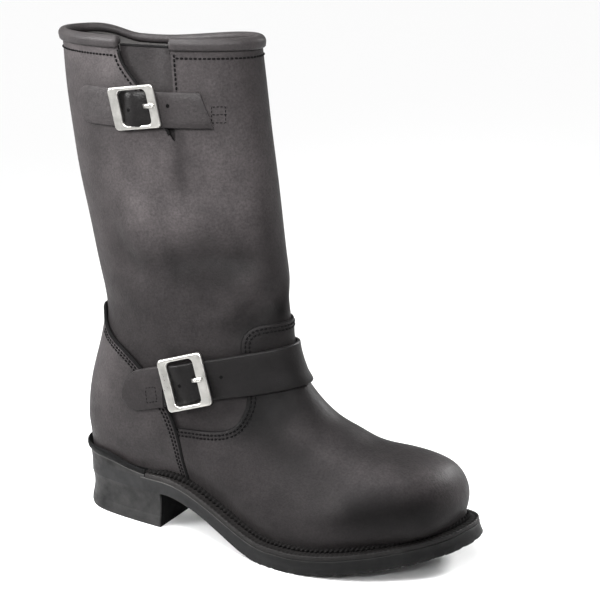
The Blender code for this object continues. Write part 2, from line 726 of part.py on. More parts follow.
def band(skin, stations, lift, clear, thick, buckle=None):
    """Solid strip over the upper. Each station has a start x, a bearing for its level line and a half width."""
    low, high = [], []
    for x, bearing, half in stations:
        place = x
        for _ in range(LIFT_STEPS):
            place = skin.hit(x, lift_at(lift, place), bearing)[0][0]
        under, over = [], []
        for share, drop in BAND_SECTION:
            point, normal = skin.hit(x, lift_at(lift, place) + share * half, bearing)
            inner = clear
            if buckle and math.sin(bearing) < HUMP_TURN:
                inner += hump(buckle, point[0], point[2])
            under.append(point + inner * normal)
            over.append(point + (inner + thick - drop * STRAP_EDGE) * normal)
        low.append(under)
        high.append(over)
    return slab(low, high)


def make_straps(parts, skin):
    turns = np.radians(np.linspace(*INSTEP_TURN, INSTEP_STATIONS))
    stations = [(SKIN_AXIS, turn, INSTEP_HALF) for turn in turns]
    solid = band(skin, stations, INSTEP_LIFT, INSTEP_CLEAR, STRAP, "instep_buckle")
    new_object("instep_strap", solid, parts, LEATHER)

    stations = [(x, 0.0, SHAFT_HALF) for x in np.linspace(*SHAFT_STRAP_X, SHAFT_STATIONS) * MM]
    solid = band(skin, stations, SHAFT_LIFT, SHAFT_CLEAR, STRAP, "shaft_buckle")
    new_object("shaft_strap", solid, parts, LEATHER)

    for name, lift, (start, end), half, clear in CHAPES:
        stations = []
        for turn in np.radians(np.linspace(CHAPE_TURN, 90, CHAPE_STEPS)):
            stations.append((start * MM + half * (1 - math.cos(turn)), 0.0, half * math.sin(turn)))
        for x in np.linspace(start * MM + half, end * MM, CHAPE_STEPS)[1:]:
            stations.append((x, 0.0, half))
        new_object(name, band(skin, stations, lift, clear, CHAPE), parts, LEATHER)


def rounded_box(left, right, half, radius):
    """Corner-rounded rectangle, counter-clockwise."""
    points = []
    for x, y, start in (
        (right - radius, half - radius, 0), (left + radius, half - radius, 90),
        (left + radius, radius - half, 180), (right - radius, radius - half, 270),
    ):
        for step in range(CORNER_STEPS + 1):
            turn = math.radians(start + 90 * step / CORNER_STEPS)
            points.append((x + radius * math.cos(turn), y + radius * math.sin(turn)))
    return points


def make_buckle(name, row, parts, cutters, skin):
    size = dict(zip(BUCKLE_COLUMNS, row))
    middle, out = skin.hit(size["x"] * MM, size["z"] * MM, 0.0)
    slope = math.radians(size["slope"])
    along = np.array([math.cos(slope), 0.0, math.sin(slope)])
    along -= out * out.dot(along)
    along /= np.linalg.norm(along)
    across = np.cross(out, along)

    def place(a, c, h):
        return middle + (along * a + across * c + out * h) * MM

    back, front, half = -size["along"] / 2, size["along"] / 2, size["across"] / 2
    low, high = size["height"], size["height"] + size["thick"]
    outer = (back, front, half)
    inner = (back + size["rear"], front - size["front"], half - size["side"])
    rings = []
    for (left, right, side), grow, height, corner in (
        (outer, -FRAME_SOFT / 2, low, FRAME_CORNER),
        (outer, 0.0, low + FRAME_SOFT / 2, FRAME_CORNER),
        (outer, 0.0, high - FRAME_SOFT, FRAME_CORNER),
        (outer, -FRAME_SOFT, high, FRAME_CORNER - FRAME_SOFT),
        (inner, FRAME_SOFT, high, WINDOW_CORNER + FRAME_SOFT),
        (inner, 0.0, high - FRAME_SOFT, WINDOW_CORNER),
        (inner, 0.0, low, WINDOW_CORNER),
    ):
        loop = rounded_box(left - grow, right + grow, side + grow, corner)
        rings.append([place(a, c, height) for a, c in loop])
    frame = new_object(name, tube(rings), parts, NICKEL)

    reach = half - size["side"] + BAR_RADIUS
    sunk, bar = low + BAR_RADIUS, size["bar_height"]
    bends = ((-reach, sunk, 0.0), (-reach, bar, 1.0), (reach, bar, -1.0), (reach, sunk, 0.0))
    rings = []
    for c, h, mitre in bends:
        ring = []
        for turn in np.radians(np.arange(0, 360, 360 / BAR_SIDES)):
            wide, deep = BAR_RADIUS * math.cos(turn), BAR_RADIUS * math.sin(turn)
            ring.append(place(BAR_ALONG + wide, c + deep, h + mitre * deep))
        rings.append(ring)
    bar_solid = new_object(name + "_bar", loft(rings), cutters)
    boolean(frame, bar_solid, "UNION")

    rings = []
    for a, wide, tall in PRONG:
        middle_h = high + PRONG_CLEAR + tall / 2
        ring = []
        for turn in np.radians(np.arange(0, 360, 360 / PRONG_SIDES) + 180 / PRONG_SIDES):
            ring.append(place(a, PRONG_ACROSS + wide * math.cos(turn), middle_h + tall / 2 * math.sin(turn)))
        rings.append(ring)
    new_object(name + "_prong", loft(rings), parts, NICKEL)


def main():
    clear_scene()
    parts = new_collection("engineer_boot")
    cutters = new_collection("cutters")
    skin = Skin()
    make_upper(parts, cutters)
    make_vamp(parts, cutters)
    make_counter(parts, cutters)
    make_collar(parts)
    make_gusset(parts, skin)
    make_back_seam(parts, skin)
    make_insole(parts)
    make_welt(parts)
    make_rand(parts)
    make_outsole(parts)
    make_heel(parts)
    make_straps(parts, skin)
    for name, row in BUCKLES.items():
        make_buckle(name, row, parts, cutters, skin)


main()
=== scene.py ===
import math

import bmesh
import bpy
import numpy as np
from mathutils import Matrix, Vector
from mathutils.bvhtree import BVHTree


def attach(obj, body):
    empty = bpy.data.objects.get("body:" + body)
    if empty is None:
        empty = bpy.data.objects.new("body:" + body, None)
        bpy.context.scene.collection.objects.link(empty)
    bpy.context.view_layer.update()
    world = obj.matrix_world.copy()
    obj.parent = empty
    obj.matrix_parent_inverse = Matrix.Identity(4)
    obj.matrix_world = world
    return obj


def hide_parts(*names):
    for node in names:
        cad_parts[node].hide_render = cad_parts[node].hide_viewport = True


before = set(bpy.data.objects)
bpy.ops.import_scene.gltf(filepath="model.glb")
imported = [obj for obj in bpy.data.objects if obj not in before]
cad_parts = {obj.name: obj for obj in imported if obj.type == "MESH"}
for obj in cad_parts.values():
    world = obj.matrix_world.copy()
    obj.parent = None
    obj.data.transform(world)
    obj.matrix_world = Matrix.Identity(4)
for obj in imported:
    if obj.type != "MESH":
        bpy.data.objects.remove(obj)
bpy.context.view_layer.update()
mm = 0.001
print("frame loaded")

# everything below is worked out in millimetres and scaled when a mesh is made

bootSizes = {
    "length": 303.0, "ballWidth": 113.0, "heelHeight": 26.0, "collarHeight": 346.0,
    "outsole": 9.5, "welt": 3.5, "wall": 2.4, "footGap": 0.7,
    "toeTip": 267.0, "heelBreast": 44.0, "ballRear": 140.0, "ballFront": 158.0,
    "toeSpring": 17.0, "springPower": 1.35,
    "weltReach": 10.5, "heelReach": 4.0, "reachFrom": -10.0, "reachRun": 80.0,
    "lasting": 3.6, "randEnd": 31.0, "randLip": 6.0, "lipFrom": -10.0,
    "flare": 2.5, "flareFrom": 60.0, "flareRun": 80.0,
}

# welt outline: share of the length, share of the ball width to the outer and inner side
soleOutline = [
    (-0.107, 0.000, 0.000), (-0.074, 0.212, 0.212), (0.000, 0.292, 0.292), (0.145, 0.343, 0.325),
    (0.264, 0.385, 0.310), (0.363, 0.445, 0.355), (0.446, 0.505, 0.425), (0.528, 0.532, 0.463),
    (0.611, 0.512, 0.470), (0.693, 0.432, 0.452), (0.776, 0.290, 0.402), (0.832, 0.135, 0.325),
    (0.862, -0.040, 0.240), (0.869, -0.140, 0.140),
]

# last: frontX, frontZ, baseX, baseZ, half, widest, ridgeY, baseY, blunt, back
lastSections = [
    (250.5, 28.0, 222.0, None, 33.5, 0.12, 13.0, None, 2.20, 2.0),
    (253.5, 42.5, 211.0, None, 37.0, 0.14, 12.0, None, 2.25, 2.0),
    (250.5, 55.0, 198.0, None, 42.0, 0.18, 10.5, None, 2.30, 2.0),
    (240.5, 65.0, 182.0, None, 46.7, 0.23, 8.5, None, 2.30, 2.0),
    (220.0, 70.2, 160.0, None, 49.0, 0.28, 6.5, None, 2.25, 2.0),
    (193.0, 75.0, 130.0, None, 46.0, 0.30, 4.5, None, 2.10, 2.0),
    (167.0, 86.5, 95.0, None, 40.5, 0.33, 3.0, None, 2.00, 2.0),
    (148.5, 100.5, 55.0, None, 37.5, 0.36, 1.5, None, 1.95, 2.0),
    (137.0, 116.0, 10.0, None, 36.0, 0.40, 0.5, None, 1.90, 1.9),
    (133.3, 125.0, -15.0, None, 36.0, 0.41, 0.0, None, 1.90, 1.85),
    (131.3, 131.5, -25.5, None, 36.0, 0.42, 0.0, None, 1.90, 1.8),
    (130.5, 134.5, -28.4, None, 36.0, 0.42, 0.0, 0.0, 1.90, 2.9),
    (128.5, 146.0, -30.9, 64.0, 36.0, 0.45, 0.0, 0.0, 1.95, 2.8),
    (127.8, 158.0, -27.0, 98.0, 36.5, 0.46, 0.0, 0.0, 2.00, 2.5),
    (126.8, 174.0, -17.0, 140.0, 38.0, 0.48, 0.0, 0.0, 2.00, 2.1),
    (124.0, 200.0, -21.5, 178.0, 41.0, 0.48, 0.0, 0.0, 2.00, 1.85),
    (119.0, 239.0, -31.5, 229.0, 45.0, 0.46, -1.0, 0.0, 2.00, 1.75),
    (113.0, 288.0, -40.5, 286.0, 46.0, 0.45, -2.0, -1.0, 2.00, 1.75),
    (107.0, 342.0, -44.5, 343.0, 44.0, 0.45, -3.0, -2.0, 2.00, 1.85),
]

lastFit = {"heelSection": 11, "steady": 0.8, "bulge": 1.8, "evenTo": 5.0, "collarDip": 13.5, "dipFrom": 0.03, "dipRun": 0.2,
           "sagFrom": 280.0, "rowStep": 3.0, "lowSteps": 30, "highSteps": 42, "dense": 2}


def ease(t):
    t = np.clip(t, 0.0, 1.0)
    return t * t * (3 - 2 * t)


def spline(knots, values, at):
    knots = np.asarray(knots, float)
    values = np.asarray(values, float).reshape(len(knots), -1)
    at = np.atleast_1d(np.asarray(at, float))
    steps = np.diff(knots)[:, None]
    count = len(knots)
    system, right = np.eye(count), np.zeros_like(values)
    slopes = np.diff(values, axis=0) / steps
    for k in range(1, count - 1):
        before, after = steps[k - 1, 0], steps[k, 0]
        system[k, k - 1:k + 2] = before, 2 * (before + after), after
        right[k] = 6 * (slopes[k] - slopes[k - 1])
    bend = np.linalg.solve(system, right)
    left = np.clip(np.searchsorted(knots, at) - 1, 0, count - 2)
    step, ahead = steps[left], (at - knots[left])[:, None]
    behind = step - ahead
    return ((bend[left] * behind**3 + bend[left + 1] * ahead**3) / (6 * step)
            + (values[left] / step - bend[left] * step / 6) * behind
            + (values[left + 1] / step - bend[left + 1] * step / 6) * ahead)


def runLength(line):
    return np.concatenate([[0.0], np.cumsum(np.linalg.norm(np.diff(line, axis=0), axis=1))])


def pickAlong(line, along, at):
    return np.stack([np.interp(at, along, column) for column in line.T], axis=-1)


def smoothLine(points, step=1.5):
    points = np.asarray(points, float)
    along = runLength(points)
    return spline(along, points, np.linspace(0, along[-1], max(int(along[-1] / step), 2)))


def soleBottom(x):
    s = bootSizes
    arch = s["heelHeight"] * ease((s["ballRear"] - x) / (s["ballRear"] - s["heelBreast"]))
    ahead = np.clip((x - s["ballFront"]) / (s["toeTip"] - s["ballFront"]), 0.0, None)
    return arch + s["toeSpring"] * ahead**s["springPower"]


def soleTop(x):
    return soleBottom(x) + bootSizes["outsole"]


def weltTop(x):
    return soleTop(x) + bootSizes["welt"]


def weltReach(x):
    s = bootSizes
    return s["heelReach"] + (s["weltReach"] - s["heelReach"]) * ease((x - s["reachFrom"]) / s["reachRun"])


def randLip(x):
    s = bootSizes
    return s["randLip"] * (1 - ease((x - s["lipFrom"]) / (s["randEnd"] - s["lipFrom"])))


def soleFlare(x):
    s = bootSizes
    return -s["flare"] * ease((x - s["flareFrom"]) / s["flareRun"])


def outlineLoop(inset, count=160):
    rows = np.array(soleOutline) * (bootSizes["length"], bootSizes["ballWidth"], bootSizes["ballWidth"])
    outer = np.stack([rows[:, 0], -rows[:, 1]], axis=1)
    inner = np.stack([rows[-2:0:-1, 0], rows[-2:0:-1, 2]], axis=1)
    corners = np.concatenate([outer, inner])
    wrapped = np.concatenate([corners[-4:], corners, corners[:5]])
    along = runLength(wrapped)
    loop = spline(along, wrapped, np.linspace(along[4], along[4 + len(corners)], count, endpoint=False))
    ahead = np.roll(loop, -1, axis=0) - np.roll(loop, 1, axis=0)
    inward = np.stack([-ahead[:, 1], ahead[:, 0]], axis=1)
    inward /= np.linalg.norm(inward, axis=1)[:, None]
    move = inset(loop[:, 0]) if callable(inset) else np.full(count, float(inset))
    return loop + move[:, None] * inward


def outlineSides(inset):
    loop = outlineLoop(inset, 600)
    heel, toe = loop[:, 0].argmin(), loop[:, 0].argmax()
    loop = np.roll(loop, -heel, axis=0)
    toe = (toe - heel) % len(loop)
    outer, inner = loop[:toe + 1], np.concatenate([loop[toe:], loop[:1]])[::-1]
    return (lambda x: np.interp(x, outer[:, 0], outer[:, 1]),
            lambda x: np.interp(x, inner[:, 0], inner[:, 1]), loop[0, 0], loop[toe, 0])


def respaced(line, even, dense):
    along = runLength(line)
    marks = along[::dense]
    return pickAlong(line, along, (1 - even) * marks + even * np.linspace(0, along[-1], len(marks)))


def lastGrid():
    fit = lastFit
    table = list(zip(*lastSections))
    heel, count = fit["heelSection"], len(lastSections)
    knots = np.arange(count, dtype=float)
    heelZ = weltTop(table[2][heel]) + bootSizes["footGap"]
    backZ = [heelZ] + list(table[3][heel + 1:])
    ends = np.array([[fx, fz, bx, weltTop(bx) if bz is None else bz] for fx, fz, bx, bz in zip(*table[:4])])
    places = []
    for k in range(count - 1):
        span = max(np.hypot(*(ends[k + 1, :2] - ends[k, :2])), np.hypot(*(ends[k + 1, 2:] - ends[k, 2:])))
        steps = int(math.ceil(span / fit["rowStep"]))
        places += [k + j / steps for j in range(steps)]
    places = np.array(places + [count - 1.0])
    frontX, frontZ, half, widest, ridgeY, blunt, back = (
        spline(knots, table[c], places)[:, 0] for c in (0, 1, 4, 5, 6, 8, 9))
    soleX = spline(knots[:heel + 1], table[2][:heel + 1], np.minimum(places, heel))[:, 0]
    seam = np.stack([table[2][heel:], table[7][heel:], backZ], axis=1)
    seam = spline(knots[heel:], seam, np.maximum(places, heel))
    lateral, medial, rear, _ = outlineSides(weltReach)
    low = np.linspace(0, math.pi / 2, fit["lowSteps"] * fit["dense"] + 1)[:-1]
    high = np.linspace(0, math.pi / 2, fit["highSteps"] * fit["dense"] + 1)
    rows = []
    for i, place in enumerate(places):
        if place < heel:
            x = max(soleX[i], rear)
            base = np.array([x, weltTop(x) + bootSizes["footGap"]])
            middle, start = (lateral(x) + medial(x)) / 2, (medial(x) - lateral(x)) / 2
        else:
            base, middle, start = seam[i, [0, 2]], seam[i, 1], 0.0
        steady = min(start / (fit["steady"] * half[i]), 1.0)
        rise = steady * low / (math.pi / 2) + (1 - steady) * (1 - np.cos(low))
        share = np.concatenate([widest[i] * rise,
                                widest[i] + (1 - widest[i]) * np.abs(np.sin(high))**(2 / blunt[i])])
        wide = half[i] * np.concatenate([np.sin(low)**(2 / back[i]), np.abs(np.cos(high))**(2 / blunt[i])])
        wide[-1] = 0.0
        axis = middle + (ridgeY[i] - middle) * share
        xs = base[0] + (frontX[i] - base[0]) * share
        zs = np.maximum(base[1] + (frontZ[i] - base[1]) * share, weltTop(xs) + bootSizes["footGap"])
        outerY, innerY = axis - wide, axis + wide
        foot = slice(0, len(low))
        lean = np.sin(rise * math.pi / 2)**fit["bulge"]
        onWelt = min(max(heel + 1 - place, 0.0), 1.0)
        for line, edge, side in ((outerY, lateral, -half[i]), (innerY, medial, half[i])):
            line[foot] = onWelt * (edge(xs[foot]) * (1 - lean) + (axis[foot] + side) * lean) \
                + (1 - onWelt) * line[foot]
        sag = fit["collarDip"] * ease((frontZ[i] - fit["sagFrom"]) / (bootSizes["collarHeight"] - fit["sagFrom"]))
        sag = sag * (1 - share) * (wide / half[i])**2 * ease((share - fit["dipFrom"]) / fit["dipRun"])
        even = 1 - ease(place / fit["evenTo"])
        outer = respaced(np.stack([xs, outerY, zs], axis=1), even, fit["dense"])
        inner = respaced(np.stack([xs, innerY, zs - sag], axis=1), even, fit["dense"])
        rows.append(np.concatenate([outer, inner[-2::-1]]))
    loop = outlineLoop(weltReach, 1200)
    loop = loop[loop[:, 0] > table[2][0]]
    along = runLength(loop)
    at = runLength(rows[1])
    at = at / at[-1] * along[-1]
    x, y = pickAlong(loop, along, at).T
    rows[0] = np.stack([x, y, weltTop(x) + bootSizes["footGap"]], axis=1)
    return np.array(rows), int(np.searchsorted(places, heel))


def gridNormals(grid, heelRow):
    along, across = np.gradient(grid, axis=0), np.gradient(grid, axis=1)
    closing = (grid[heelRow:, 1] - grid[heelRow:, -2]) / 2
    across[heelRow:, 0] = across[heelRow:, -1] = closing
    normals = np.cross(across, along)
    normals[heelRow:, 0] = normals[heelRow:, -1] = (normals[heelRow:, 0] + normals[heelRow:, -1]) / 2
    return normals / np.maximum(np.linalg.norm(normals, axis=2), 1e-9)[..., None]


# folds of the leather: side (-1 outer, 1 inner, 0 both), height in or out, width, line in side view
leatherFolds = [
    (-1, -3.8, 10.0, [(36, 190), (56, 198), (76, 205), (94, 206), (108, 203), (126, 194)]),
    (-1, 1.8, 15.0, [(28, 222), (60, 228), (92, 228), (122, 218)]),
    (-1, 2.2, 11.0, [(52, 176), (78, 174), (97, 177), (110, 183), (126, 192)]),
    (-1, -5.0, 9.0, [(96, 138), (104, 152), (112, 163), (118, 170), (124, 176), (130, 190)]),
    (-1, 2.0, 11.0, [(20, 234), (31, 216), (42, 202), (54, 190)]),
    (-1, -2.0, 9.0, [(4, 232), (18, 208), (28, 193), (44, 180)]),
    (-1, 1.0, 14.0, [(-6, 182), (20, 168), (52, 160)]),
    (-1, -1.2, 15.0, [(98, 236), (110, 256), (116, 284), (112, 312)]),
    (1, -3.2, 12.0, [(4, 186), (44, 200), (78, 202), (122, 190)]),
    (1, 2.0, 14.0, [(-6, 210), (40, 226), (96, 226)]),
    (1, 1.8, 11.0, [(20, 176), (62, 178), (114, 176)]),
    (1, -3.6, 10.0, [(54, 152), (92, 158), (114, 166), (130, 182)]),
    (0, -1.2, 13.0, [(118, 54), (136, 66), (152, 76), (176, 96)]),
    (0, -1.0, 15.0, [(172, 36), (182, 56), (188, 70), (192, 88)]),
]


def nearLine(x, z, line):
    # distance to a line, and the share of the line where it is nearest
    line = np.asarray(line, float)
    along = runLength(line)
    best, share = np.full(x.shape, 1e9), np.zeros(x.shape)
    for k, ((ax, az), (bx, bz)) in enumerate(zip(line, line[1:])):
        dx, dz = bx - ax, bz - az
        t = np.clip(((x - ax) * dx + (z - az) * dz) / (dx * dx + dz * dz), 0, 1)
        away = np.hypot(x - ax - t * dx, z - az - t * dz)
        share = np.where(away < best, (along[k] + t * (along[k + 1] - along[k])) / along[-1], share)
        best = np.minimum(best, away)
    return best, share


def insideDistance(x, z, ring):
    ring = np.asarray(ring, float)
    away = nearLine(x, z, np.concatenate([ring, ring[:1]]))[0]
    inside = np.zeros(x.shape, bool)
    for (ax, az), (bx, bz) in zip(ring, np.roll(ring, -1, axis=0)):
        crosses = (az > z) != (bz > z)
        with np.errstate(divide="ignore", invalid="ignore"):
            inside ^= crosses & (x < (bx - ax) * (z - az) / (bz - az) + ax)
    return np.where(inside, away, -away)


def foldHeight(grid, normals):
    x, y, z = np.moveaxis(grid, 2, 0)
    total = np.zeros(x.shape)
    for side, height, width, line in leatherFolds:
        mask = 1.0 if side == 0 else ease((side * normals[..., 1] + 0.25) / 0.6)
        away, share = nearLine(x, z, smoothLine(line, 4))
        total += mask * height * (np.exp(-(away / width)**2) * ease(share / 0.35) * ease((1 - share) / 0.3))
    uneven = (np.sin(x / 17 + 1.3 * np.sin(z / 29)) * np.sin(z / 21 + y / 33)
              + 0.6 * np.sin(x / 9 - z / 13 + y / 11))
    return total + 0.22 * uneven * ease((z - weltTop(x)) / 14)


# painted shade and painted highlights: darker where shade falls in creases, under the straps and along unlit edges,
# paler where lamp light falls on the leather; side as above, how dark or pale, width, line in side view
paintedShadeMarks = {
    "upper": [
        (-1, -0.58, 11.0, [(62, 197), (76, 200), (92, 200), (104, 200)]),
        (-1, -0.42, 10.0, [(64, 184), (80, 185), (96, 185)]),
        (-1, 0.3, 8.0, [(-7, 212), (-4, 190), (-2, 166)]),
        (-1, -0.25, 9.0, [(16, 207), (25, 199), (36, 196)]),
        (-1, -0.46, 6.0, [(67, 290), (69, 276), (69, 262), (70, 252)]),
        (-1, -0.28, 11.0, [(4, 294), (1, 275), (-2, 254)]),
        (-1, 0.42, 14.0, [(40, 238), (46, 228), (56, 225), (66, 232)]),
        (-1, 0.16, 12.0, [(96, 282), (101, 264), (104, 248)]),
        (-1, 0.32, 8.0, [(95, 165), (104, 170), (112, 175)]),
        (-1, 0.6, 16.0, [(-16, 338), (4, 338), (16, 334)]),
        (-1, -0.65, 10.0, [(108, 150), (116, 158), (124, 164)]),
        (0, -0.35, 7.0, [(107, 335), (110, 312), (114, 285), (117, 255), (119, 225), (122, 198),
                         (126, 176), (130, 160)]),
        (1, -0.35, 12.0, [(20, 196), (60, 202), (100, 198)]),
        (1, 0.25, 15.0, [(10, 226), (50, 232), (90, 230)]),
    ],
    "vamp": [
        (0, -0.74, 15.0, [(70, 95), (90, 99), (106, 99), (118, 99), (130, 101)]),
        (0, -0.42, 11.0, [(106, 85), (122, 82), (137, 76), (150, 71)]),
        (0, -0.66, 12.0, [(202, 48), (216, 49), (230, 49), (243, 48)]),
        (0, -0.32, 9.0, [(190, 38), (216, 37), (240, 37)]),
        (0, 0.75, 7.5, [(196, 65), (214, 66.5), (232, 65.5), (246, 60), (252, 52)]),
        (0, -0.2, 7.0, [(150, 100), (166, 90), (180, 83)]),
        (0, -0.5, 8.0, [(196, 79), (210, 77), (226, 73)]),
        (0, 0.45, 7.0, [(146, 88), (164, 78), (184, 70)]),
        (0, -0.3, 11.0, [(116, 138), (124, 150)]),
    ],
    "heel_counter": [
        (-1, 0.6, 17.0, [(-6, 128), (-10, 110), (-10, 96)]),
        (-1, -0.12, 14.0, [(36, 52), (48, 68)]),
    ],
}

skin, heelRow = lastGrid()
skinNormals = gridNormals(skin, heelRow)
skin = skin + skinNormals * foldHeight(skin, skinNormals)[..., None]
skinNormals = gridNormals(skin, heelRow)
print("last surface", skin.shape)


# meshes

def addObject(name, data):
    added = bpy.data.objects.new(name, data)
    bpy.context.scene.collection.objects.link(added)
    return added


def makePiece(name, points, faces, sharp=None, turnOut=False):
    mesh = bpy.data.meshes.new(name)
    mesh.from_pydata([tuple(p) for p in np.asarray(points, float) * mm], [], [tuple(int(k) for k in f) for f in faces])
    mesh.validate()
    mesh.update()
    mesh.shade_smooth()
    if turnOut:
        shape = bmesh.new()
        shape.from_mesh(mesh)
        bmesh.ops.recalc_face_normals(shape, faces=shape.faces)
        shape.to_mesh(mesh)
        shape.free()
    if sharp:
        mesh.set_sharp_from_angle(angle=math.radians(sharp))
    return addObject(name, mesh)


def finishPiece(piece, looks, nodes=(), faceLooks=None):
    for look in looks:
        piece.data.materials.append(look)
    if faceLooks is not None:
        piece.data.polygons.foreach_set("material_index", faceLooks)
    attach(piece, "root")
    if nodes:
        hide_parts(*nodes)
    print("made", piece.name, len(piece.data.polygons), "faces")


def ringFaces(rings, count, closedRun=False, caps=True):
    faces = []
    for r in range(rings if closedRun else rings - 1):
        a, b = r * count, ((r + 1) % rings) * count
        faces += [(a + k, a + (k + 1) % count, b + (k + 1) % count, b + k) for k in range(count)]
    if caps and not closedRun:
        faces += [tuple(range(count))[::-1], tuple(range((rings - 1) * count, rings * count))]
    return faces


def gridFaces(first, rows, cols):
    corners = [first + r * cols + c for r in range(rows - 1) for c in range(cols - 1)]
    return [(k, k + cols, k + cols + 1, k + 1) for k in corners]


def loftPiece(name, rings, closedRun=False, sharp=None):
    rings = np.asarray(rings, float)
    return makePiece(name, rings.reshape(-1, 3), ringFaces(*rings.shape[:2], closedRun), sharp, True)


def circle(centre, side, up, radius, count):
    turns = np.linspace(0, 2 * math.pi, count, endpoint=False)
    return [centre + radius * (side * math.cos(v) + up * math.sin(v)) for v in turns]


def clipGrid(keep):
    rows, cols = keep.shape
    index = np.arange(rows * cols).reshape(rows, cols)
    index[heelRow:, -1] = index[heelRow:, 0]  # the back seam closes here
    flat = keep.ravel()
    points, known, faces, cuts = [], {}, [], []

    def spot(a, b):
        a, b = min(a, b), max(a, b)
        if (a, b) not in known:
            known[a, b] = len(points)
            points.append((a, b, 0.0 if a == b else flat[a] / (flat[a] - flat[b])))
        return known[a, b]

    quads = np.stack([index[:-1, :-1], index[:-1, 1:], index[1:, 1:], index[1:, :-1]], axis=-1).reshape(-1, 4)
    inside = (flat[quads] > 0).sum(axis=1)
    for quad, count in zip(quads.tolist(), inside.tolist()):
        if count == 0:
            continue
        if count == 4:
            ring = [spot(a, a) for a in quad]
        else:
            ring, leave, enter = [], None, None
            for a, b in zip(quad, quad[1:] + quad[:1]):
                if flat[a] > 0:
                    ring.append(spot(a, a))
                if (flat[a] > 0) != (flat[b] > 0):
                    ring.append(spot(a, b))
                    if flat[a] > 0:
                        leave = ring[-1]
                    else:
                        enter = ring[-1]
            cuts.append((leave, enter))
        ring = [p for k, p in enumerate(ring) if p != ring[k - 1]]
        if len(ring) > 2:
            faces.append(ring)
    a, b, t = (np.array(column) for column in zip(*points))
    return a.astype(int), b.astype(int), t[:, None], faces, cuts


def onSkin(a, b, t, height):
    flatSkin, flatNormals = skin.reshape(-1, 3), skinNormals.reshape(-1, 3)
    normals = flatNormals[a] * (1 - t) + flatNormals[b] * t
    normals /= np.linalg.norm(normals, axis=1)[:, None]
    return flatSkin[a] * (1 - t) + flatSkin[b] * t + normals * height, normals


def layerPiece(name, keep, low, high, edgeDrop):
    a, b, t, faces, cuts = clipGrid(keep)
    edges = dict.fromkeys((p, q) for ring in faces for p, q in zip(ring, ring[1:] + ring[:1]))
    drop = np.zeros((len(a), 1))
    for p, q in cuts:
        drop[p] = drop[q] = edgeDrop
    over, under = onSkin(a, b, t, high - drop)[0], onSkin(a, b, t, low)[0]
    count = len(over)
    allFaces = faces + [[p + count for p in ring[::-1]] for ring in faces]
    allFaces += [(q, p, p + count, q + count) for p, q in edges if (q, p) not in edges]
    return makePiece(name, np.concatenate([over, under]), allFaces, 50, True), len(faces)


def chains(cuts):
    after = {p: q for p, q in cuts}
    starts = set(after) - set(after.values())
    runs, seen = [], set()
    for start in sorted(starts) + sorted(after):
        if start in seen:
            continue
        run = [start]
        seen.add(start)
        while run[-1] in after and after[run[-1]] not in seen:
            run.append(after[run[-1]])
            seen.add(run[-1])
        if run[-1] in after and after[run[-1]] == run[0]:
            run.append(run[0])
        if len(run) > 3:
            runs.append(run)
    return runs


def seamLines(field, level, height):
    a, b, t, _, cuts = clipGrid(field - level)
    points, normals = onSkin(a, b, t, height)
    return [(points[run], normals[run]) for run in chains(cuts)]


# threads and cords are gathered here and made into one piece each
threadBits, cordBits, holeShadeBits = ({"points": [], "faces": []} for _ in range(3))
stitchShape = [(-0.5, 0.45, -0.7), (-0.36, 0.9, -0.05), (0.0, 1.0, 0.15), (0.36, 0.9, -0.05), (0.5, 0.45, -0.7)]


def addBits(bits, rings, caps=True):
    first = len(bits["points"])
    bits["points"] += [point for ring in rings for point in ring]
    bits["faces"] += [tuple(first + v for v in f) for f in ringFaces(len(rings), len(rings[0]), caps=caps)]


def addStitches(line, normals, pitch, length, radius, keep=None):
    along = runLength(line)
    for s in np.arange(pitch / 2, along[-1], pitch) if along[-1] >= pitch else ():
        middle, up = pickAlong(line, along, s), pickAlong(normals, along, s)
        ahead = pickAlong(line, along, s + length / 2) - pickAlong(line, along, s - length / 2)
        if keep and not keep(middle) or np.linalg.norm(ahead) < 1e-6:
            continue
        ahead /= np.linalg.norm(ahead)
        up -= ahead * up.dot(ahead)
        up /= np.linalg.norm(up)
        side = np.cross(up, ahead)
        addBits(threadBits, [circle(middle + ahead * length * shift + up * radius * sink, side, up, radius * size, 6)
                             for shift, size, sink in stitchShape])


def addCord(line, normals, radius, lift):
    ahead = np.gradient(line, axis=0)
    ahead /= np.maximum(np.linalg.norm(ahead, axis=1), 1e-9)[:, None]
    addBits(cordBits, [circle(centre + up * lift, side, up, radius, 8)
                       for centre, up, side in zip(line, normals, np.cross(normals, ahead))])


# looks

def newLook(name, colour, roughness, metallic=0.0):
    look = bpy.data.materials.new(name)
    look.use_nodes = True
    shader = look.node_tree.nodes["Principled BSDF"].inputs
    shader["Base Color"].default_value = (*colour, 1)
    shader["Roughness"].default_value = roughness
    shader["Metallic"].default_value = metallic
    return look, look.node_tree, shader


def addNode(tree, kind, inputs, output, **settings):
    node = tree.nodes.new("ShaderNode" + kind)
    for name, value in settings.items():
        setattr(node, name, value)
    for name, value in inputs.items():
        if isinstance(value, bpy.types.NodeSocket):
            tree.links.new(value, node.inputs[name])
        else:
            node.inputs[name].default_value = value
    return node.outputs[output]


def ramp(tree, source, stops):
    colour = addNode(tree, "ValToRGB", {"Fac": source}, "Color")
    elements = colour.node.color_ramp.elements
    elements[0].position, elements[1].position = stops[0][0], stops[-1][0]
    elements[0].color, elements[1].color = (*stops[0][1], 1), (*stops[-1][1], 1)
    for place, shade in stops[1:-1]:
        elements.new(place).color = (*shade, 1)
    return colour


def noise(tree, place, scale, detail=4.0, rough=0.55):
    return addNode(tree, "TexNoise", {"Vector": place, "Scale": scale, "Detail": detail, "Roughness": rough}, "Fac")


def toRange(tree, source, low, high, start=0.3, end=0.7):
    return addNode(tree, "MapRange", {"Value": source, "From Min": start, "From Max": end, "To Min": low, "To Max": high},
                   "Result")


